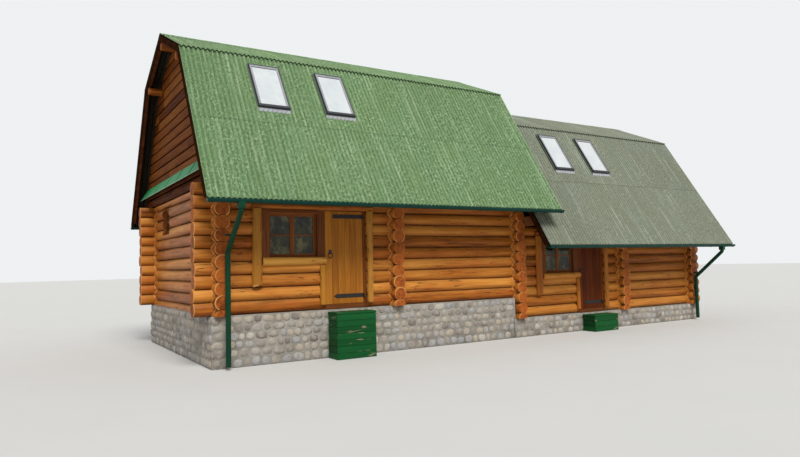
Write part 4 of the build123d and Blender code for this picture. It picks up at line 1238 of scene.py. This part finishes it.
def doorFrame(section, rng):
    # jambs, head and sill with their stops, and the board between the window and the left jamb
    shape = Shape()
    x = section["axes"][0] + bay["doorX"]
    place = Place((x, -wallY, section["base"]))
    gap, jamb = bay["gap"], bay["jamb"]
    d, stop, front = jambLook["deep"], jambLook["stop"], jambLook["stopFront"]
    a, b, foot, head = -gap, bay["doorW"] + gap, bay["sill"] - gap, bay["sill"] + bay["doorH"] + gap
    x0, x1, top = -jamb, bay["doorW"] + jamb, bay["sill"] + bay["doorH"] + jamb
    windowEnd = bay["windowX"] + bay["windowW"] - bay["doorX"]
    low, high = bay["windowZ"], bay["windowZ"] + bay["windowH"]
    for start, end, along in (((x0, -d, 0.0), (a, d, top), 2), ((b, -d, 0.0), (x1, d, top), 2),
                              ((a, -d, head), (b, d, top), 0), ((a, -d, 0.0), (b, d, foot), 0),
                              ((a - 0.0002, front, foot), (stop, d, head), 2),
                              ((bay["doorW"] - stop, front, foot), (b + 0.0002, d, head), 2),
                              ((windowEnd + 0.0003, 0.002 - d, low), (x0 - 0.0003, d - 0.01, high), 2)):
        bar(shape, place, start, end, 0.006, rng.uniform(0.2, 0.5), along, seed=rng.uniform(0, 9))
    side = section["name"]
    shape.make(f"doorFrame{side.title()}", [frameWood], "root", "red_brown_joinery", [f"door_frame_{side}"])


def coat(material, *names):
    # gives nodes of the frame their material
    for name in names:
        nodes[name].data.materials.clear()
        nodes[name].data.materials.append(material)


for section, leafWood, slotName in ((left, goldDoorWood, "golden_door"),
                                    (right, darkDoorWood, "red_brown_joinery")):
    rng = np.random.default_rng(21)
    doorLeaf(section, leafWood, slotName, rng)
    doorIron(section)
    doorFrame(section, rng)
    coat(iron, f"door_straps_{section['name']}", f"door_ring_{section['name']}")

# Peeled poles round the window and the door, flat against the logs; places along the bay are in metres
poleLook = {"sill": (0.995, 0.080, 0.81), "sillEnd": 0.020, "post": (0.71, 0.092), "postDrop": 0.45,
            "short": (0.063, 0.060), "doorPost": (3.185, 0.070), "over": 0.012,
            "header": (0.068, 0.060, 0.61, 3.26)}


def peeledPoles(section, woods):
    shape, header = Shape(), Shape()
    look = poleLook
    x, base = section["axes"][0], section["base"]
    y = -wallY - cabin["logRadius"] - cabin["seat"]
    sillUp, sillRadius, sillStart = look["sill"]
    foot, sill, sillEnd = base + bay["sill"], base + sillUp, x + bay["doorX"] - look["sillEnd"]
    head = foot + bay["doorH"]
    top = head + look["over"]
    posts = ((x + look["post"][0], sill - look["postDrop"], top, look["post"][1], 0.6, 2.0, 0.35),
             (sillEnd - look["short"][0], foot, sill - sillRadius, look["short"][1], 0.4, 1.5, 0.0),
             (x + look["doorPost"][0], foot, top, look["doorPost"][1], 0.7, 2.6, 0.0))
    for k, (px, z0, z1, radius, tone, wild, slant) in enumerate(posts):
        place = Place((px, y, 0), (0, 0, 1), (1, 0, 0), (0, 1, 0))
        addLog(shape, place, z0, z1, radius, 900 + k, tone, high=0.0, wild=wild, crook=0.005, knots=6,
               slant=slant)
    place = Place((0, y, sill))
    addLog(shape, place, x + sillStart, sillEnd, sillRadius, 920, 0.85, back=0.0, wild=1.8, crook=0.003,
           knots=5)
    up, radius, start, end = look["header"]
    place = Place((0, y, head + up))
    # tone 0.25 makes the header darker than the posts: painted shade under the eave
    addLog(header, place, x + start, x + end, radius, 921, 0.25, back=0.0, wild=1.6, crook=0.002, knots=5)
    side = section["name"]
    header.make(f"headerPole{side.title()}", [logSide, logCut], "root", "peeled_wood", sharp=50)
    shape.make(f"peeledPoles{side.title()}", woods, "root", "peeled_wood", [f"poles_{side}"], sharp=50)


peeledPoles(left, [poleSide, poleCut])
peeledPoles(right, [logSide, logCut])
print("doors and poles made")


# Plinth: cobbles in mortar

plinthLook = {"out": 0.20, "wide": 0.40, "skin": 0.024, "course": 0.15, "stone": (0.13, 0.27), "fill": 0.93,
              "deep": (0.036, 0.046), "bed": 0.047}
ball = bmesh.new()
bmesh.ops.create_icosphere(ball, subdivisions=2, radius=1.0)
ballPoints = np.array([v.co for v in ball.verts])
ballFaces = np.array([[v.index for v in f.verts] for f in ball.faces])
ball.free()


def cobble(shape, place, centre, half, rng):
    power = rng.uniform(2.6, 3.6)
    norm = (np.abs(ballPoints) ** power).sum(1) ** (1 / power)
    points = ballPoints / norm[:, None]
    for _ in range(3):
        points = points * (1 + 0.06 * np.sin(ballPoints @ rng.normal(0, 1.6, 3) + rng.uniform(0, 6)))[:, None]
    turn = rng.uniform(-0.16, 0.16)
    spin = np.array([[cos(turn), sin(turn), 0], [-sin(turn), cos(turn), 0], [0, 0, 1]])
    points = place((points * half) @ spin + centre)
    points[:, 2] = np.maximum(points[:, 2], 0.0)
    shape.add(points, ballFaces, 0, tone=rng.uniform(0, 1))


def cobbleFace(shape, place, width, height, rng):
    # rows of stones on a local uv face, bedded in the mortar
    look = plinthLook
    rows = max(2, int(round(height / look["course"])))
    heights = rng.uniform(0.8, 1.2, rows)
    levels = np.concatenate([[0], np.cumsum(heights) / heights.sum()]) * height
    for v0, v1 in zip(levels, levels[1:]):
        u = rng.uniform(0.0, 0.05)
        while u < width - 0.08:
            wide = min(rng.uniform(*look["stone"]), width - u)
            centre = (u + wide / 2, (v0 + v1) / 2 + rng.uniform(-0.006, 0.006), -look["bed"])
            half = (wide / 2 * look["fill"], (v1 - v0) / 2 * look["fill"], rng.uniform(*look["deep"]))
            cobble(shape, place, centre, half, rng)
            u += wide


def mortarWalls(section):
    # mortar under the log walls, set back outside behind the faces of the stones
    x0, x1 = section["plinth"]
    wide, skin = plinthLook["wide"], plinthLook["skin"]
    outer = wallY + plinthLook["out"]
    inner, shell, middle = outer - wide, outer - skin, section["axes"][1]
    end = x1 - (skin if section is right else 0)
    yield x0 + skin, end, -shell, -inner
    yield x0 + skin, end, inner, shell
    yield middle - wide / 2, middle + wide / 2, -inner, inner
    yield x0 + skin, x0 + wide, -inner, inner
    if section is right:
        yield x1 - wide, x1 - skin, -inner, inner


def plinth(section, seed):
    shape = Shape()
    rng = np.random.default_rng(seed)
    x0, x1 = section["plinth"]
    top, outer = section["base"], wallY + plinthLook["out"]
    inner, shell = outer - plinthLook["wide"], outer - plinthLook["skin"]
    for a, b, c, d in mortarWalls(section):
        bar(shape, world, (a, c, 0.0), (b, d, top - 0.001), 0.012, slot=1)
    if section is left:
        # above the lower plinth the higher one runs on up to the logs of the party wall
        for c, d in ((-shell, -inner), (inner, shell)):
            bar(shape, world, (-0.21, c, right["base"]), (-0.143, d, top - 0.001), 0.012, slot=1)
    end, outward = (x0, -1) if section is left else (x1, 1)
    faces = ((Place((x0, -outer, 0), (1, 0, 0), (0, 0, 1), (0, -1, 0)), x1 - x0),
             (Place((x1, outer, 0), (-1, 0, 0), (0, 0, 1), (0, 1, 0)), x1 - x0),
             (Place((end, -outward * outer, 0), (0, outward, 0), (0, 0, 1), (outward, 0, 0)), 2 * outer))
    for place, width in faces:
        cobbleFace(shape, place, width, top - 0.012, rng)
    name = section["name"]
    shape.make(f"cobblePlinth{name.title()}", [stone, mortar], "root", "cobble_stone", [f"plinth_{name}"],
               sharp=80)


plinth(left, 77)
plinth(right, 78)
print("plinth made")

# Door steps: a boarded box with a tread of planks
stepLook = {"wide": 0.90, "deep": 0.42, "drop": 0.04, "tread": 0.035, "plank": 0.105, "board": 0.135,
            "thick": 0.024, "leg": 0.05, "open": 0.002}


def doorStep(section, replaced):
    shape = Shape()
    rng = np.random.default_rng(9)
    look = stepLook
    wide, thick, leg, gap = look["wide"], look["thick"], look["leg"], look["open"]
    top = section["base"] - look["drop"]
    x = section["axes"][0] + bay["doorX"] + bay["doorW"] / 2 - wide / 2
    y = -wallY - plinthLook["out"] - cabin["seat"] - look["deep"]
    place = Place((x, y, 0))
    for k in range(4):
        low, high = look["plank"] * k + gap, look["plank"] * (k + 1) - gap
        bar(shape, place, (0.0, low, top - look["tread"]), (wide, high, top), 0.004, rng.uniform(0.2, 0.9), 0,
            seed=k)
    rows = max(2, int(round((top - look["drop"]) / look["board"])))
    edges = np.linspace(0.0, top - 0.037, rows + 1)
    for a, b in zip(edges, edges[1:]):
        bar(shape, place, (0.012, 0.010, a + gap), (wide - 0.012, 0.010 + thick, b - gap), 0.004,
            rng.uniform(0.2, 0.9), 0, seed=a * 9)
        for side in (0.012, wide - 0.012 - thick):
            bar(shape, place, (side, 0.036, a + gap), (side + thick, 0.415, b - gap), 0.004,
                rng.uniform(0.2, 0.9), 1, seed=b * 9)
    for px in (0.036, wide - 0.036 - leg):
        for py in (0.036, 0.36):
            bar(shape, place, (px, py, 0.0), (px + leg, py + leg, top - 0.036), 0.003, 0.4, 2)
    shape.make(f"stepBoards{section['name'].title()}", [paintedBoard], "root", "green_boards", replaced)


doorStep(left, ["door_steps"])
doorStep(right, [])

# Beads and collars on the gutters, and collars on the downspouts
gutterLook = {"in": 0.010, "radius": 0.0615, "bead": 0.0055, "beadOut": 0.054, "collar": 0.06, "every": 2.0,
              "pipe": 0.0475, "pipeY": 0.32 + 0.048 + 0.020, "pipeCollar": 0.05, "low": 0.30, "high": 0.9}


def hoop(shape, place, radius, thick, u0, u1, start=0.0, end=2 * pi, sides=24):
    # a band round the local u axis, over a part of the circle
    closed = abs(end - start - 2 * pi) < 1e-6
    angles = np.linspace(start, end, sides + 1)[:sides if closed else sides + 1]
    loop = [(u0, radius), (u0 + 0.002, radius + thick), (u1 - 0.002, radius + thick), (u1, radius)]
    points = np.array([[(u, r * cos(a), r * sin(a)) for a in angles] for u, r in loop]).reshape(-1, 3)
    shape.add(place(points), gridFaces(4, len(angles), closed))


def gutterTrim(shape, section):
    look, a = gutterLook, cabin["slopeLow"]
    x0, x1 = section["gutter"]
    eaveY = section["kneeY"] + (section["knee"] - section["eave"]) * cos(a) / sin(a)
    z = section["eave"] - cabin["sheet"] * cos(a) - 0.004
    for side in (-1, 1):
        y = side * (eaveY - look["in"])
        bead = Place((0, y + side * look["beadOut"], z - 0.001))
        hoop(shape, bead, look["bead"], 0.0015, x0 + 0.001, x1 - 0.001, sides=10)
        spot = Place((0, y, z))
        for x in np.arange(x0 + look["every"], x1 - 0.5, look["every"]):
            hoop(shape, spot, look["radius"], 0.0004, x, x + look["collar"], pi, 2 * pi, 20)


def pipeCollars(shape, section):
    for side in (-1, 1):
        y = side * (wallY + gutterLook["pipeY"])
        spot = Place((section["spoutX"], y, 0), (0, 0, 1), (1, 0, 0), (0, 1, 0))
        for z in (gutterLook["low"], section["base"] + gutterLook["high"]):
            hoop(shape, spot, gutterLook["pipe"], 0.0035, z, z + gutterLook["pipeCollar"])


shape = Shape()
for trim in (gutterTrim, pipeCollars):
    for section in (left, right):
        trim(shape, section)
shape.make("gutterBeads", [gutterSteel], "root", "green_steel")

# Nodes of the frame that show as they are
coat(gutterSteel, "gutters", "gutter_brackets")
coat(pipeSteel, "downspouts")
coat(vergeWood, "barge_boards")
coat(rafterWood, "rafters")
coat(timber, "attic_joists", "attic_boards", "floor_boards")
coat(iron, "door_pins")
print("fittings made")


# Floor, light and camera

floorMesh = bpy.data.meshes.new("floor")
edge = 150
corners = [(-edge, -edge, 0), (edge, -edge, 0), (edge, edge, 0), (-edge, edge, 0)]
floorMesh.from_pydata(corners, [], [(0, 1, 2, 3)])
floor = bpy.data.objects.new("floor", floorMesh)
bpy.context.scene.collection.objects.link(floor)
s = Surface("paleFloor")
cloud = s.noise(s.place() * 0.6, detail=2)
floorMesh.materials.append(s.finish(s.mix(cloud, (0.66, 0.665, 0.66), (0.70, 0.70, 0.69)), roughness=0.9))

# Soft light from all round; what is seen directly, in a mirror or through glass is a paler shade of it
sky = bpy.data.worlds.new("studio")
bpy.context.scene.world = sky
sky.use_nodes = True
tree = sky.node_tree
tree.nodes.clear()


def skyNode(kind, *sources, **settings):
    # a node of the sky with its inputs linked to sources or set to numbers, in their order
    node = tree.nodes.new("ShaderNode" + kind)
    for name, value in settings.items():
        setattr(node, name, value)
    for socket, source in zip(node.inputs, sources):
        if isinstance(source, bpy.types.NodeSocket):
            tree.links.new(source, socket)
        else:
            socket.default_value = source
    return node.outputs


ray = skyNode("LightPath")
mirrored = skyNode("Math", ray["Is Glossy Ray"], ray["Is Transmission Ray"], operation="MAXIMUM")
seen = skyNode("Math", ray["Is Camera Ray"], mirrored[0], operation="MAXIMUM")
soft = skyNode("Background", (0.96, 0.98, 1.0, 1.0), 0.42)
pale = skyNode("Background", (0.86, 0.88, 0.89, 1.0), 1.0)
skyNode("OutputWorld", skyNode("MixShader", seen[0], soft[0], pale[0])[0])

lamp = bpy.data.lights.new("key", "SUN")
lamp.energy, lamp.angle, lamp.color = 2.6, radians(24), (1.0, 0.97, 0.92)
key = bpy.data.objects.new("key", lamp)
key.rotation_euler = Vector((-0.10, -0.66, 0.75)).to_track_quat("Z", "Y").to_euler()
bpy.context.scene.collection.objects.link(key)

# The camera, in metres and degrees; focal length and centre in pixels of a picture of 800 by 457
picture = {"wide": 800, "tall": 457}
view = {"at": (-10.6939, -14.6454, 1.8438), "yaw": 31.5896, "pitch": 3.4621, "roll": -1.3757,
        "focal": 631.541, "centre": (397.744, 226.648)}
yaw, pitchUp, roll = (radians(view[name]) for name in ("yaw", "pitch", "roll"))
ahead = Vector((sin(yaw) * cos(pitchUp), cos(yaw) * cos(pitchUp), sin(pitchUp)))
level = Vector((cos(yaw), -sin(yaw), 0.0))
upright = level.cross(ahead)
rightward = level * cos(roll) + upright * sin(roll)
upward = rightward.cross(ahead)
data = bpy.data.cameras.new("camera")
data.sensor_width = 36.0
data.lens = view["focal"] / picture["wide"] * data.sensor_width
data.shift_x = (picture["wide"] / 2 - view["centre"][0]) / picture["wide"]
data.shift_y = (view["centre"][1] - picture["tall"] / 2) / picture["wide"]
data.clip_end = 500
camera = bpy.data.objects.new("camera", data)
turn = Matrix((rightward, upward, -ahead)).transposed()
camera.matrix_world = Matrix.Translation(view["at"]) @ turn.to_4x4()
bpy.context.scene.collection.objects.link(camera)
bpy.context.scene.camera = camera
bpy.context.scene.view_settings.view_transform = "Standard"
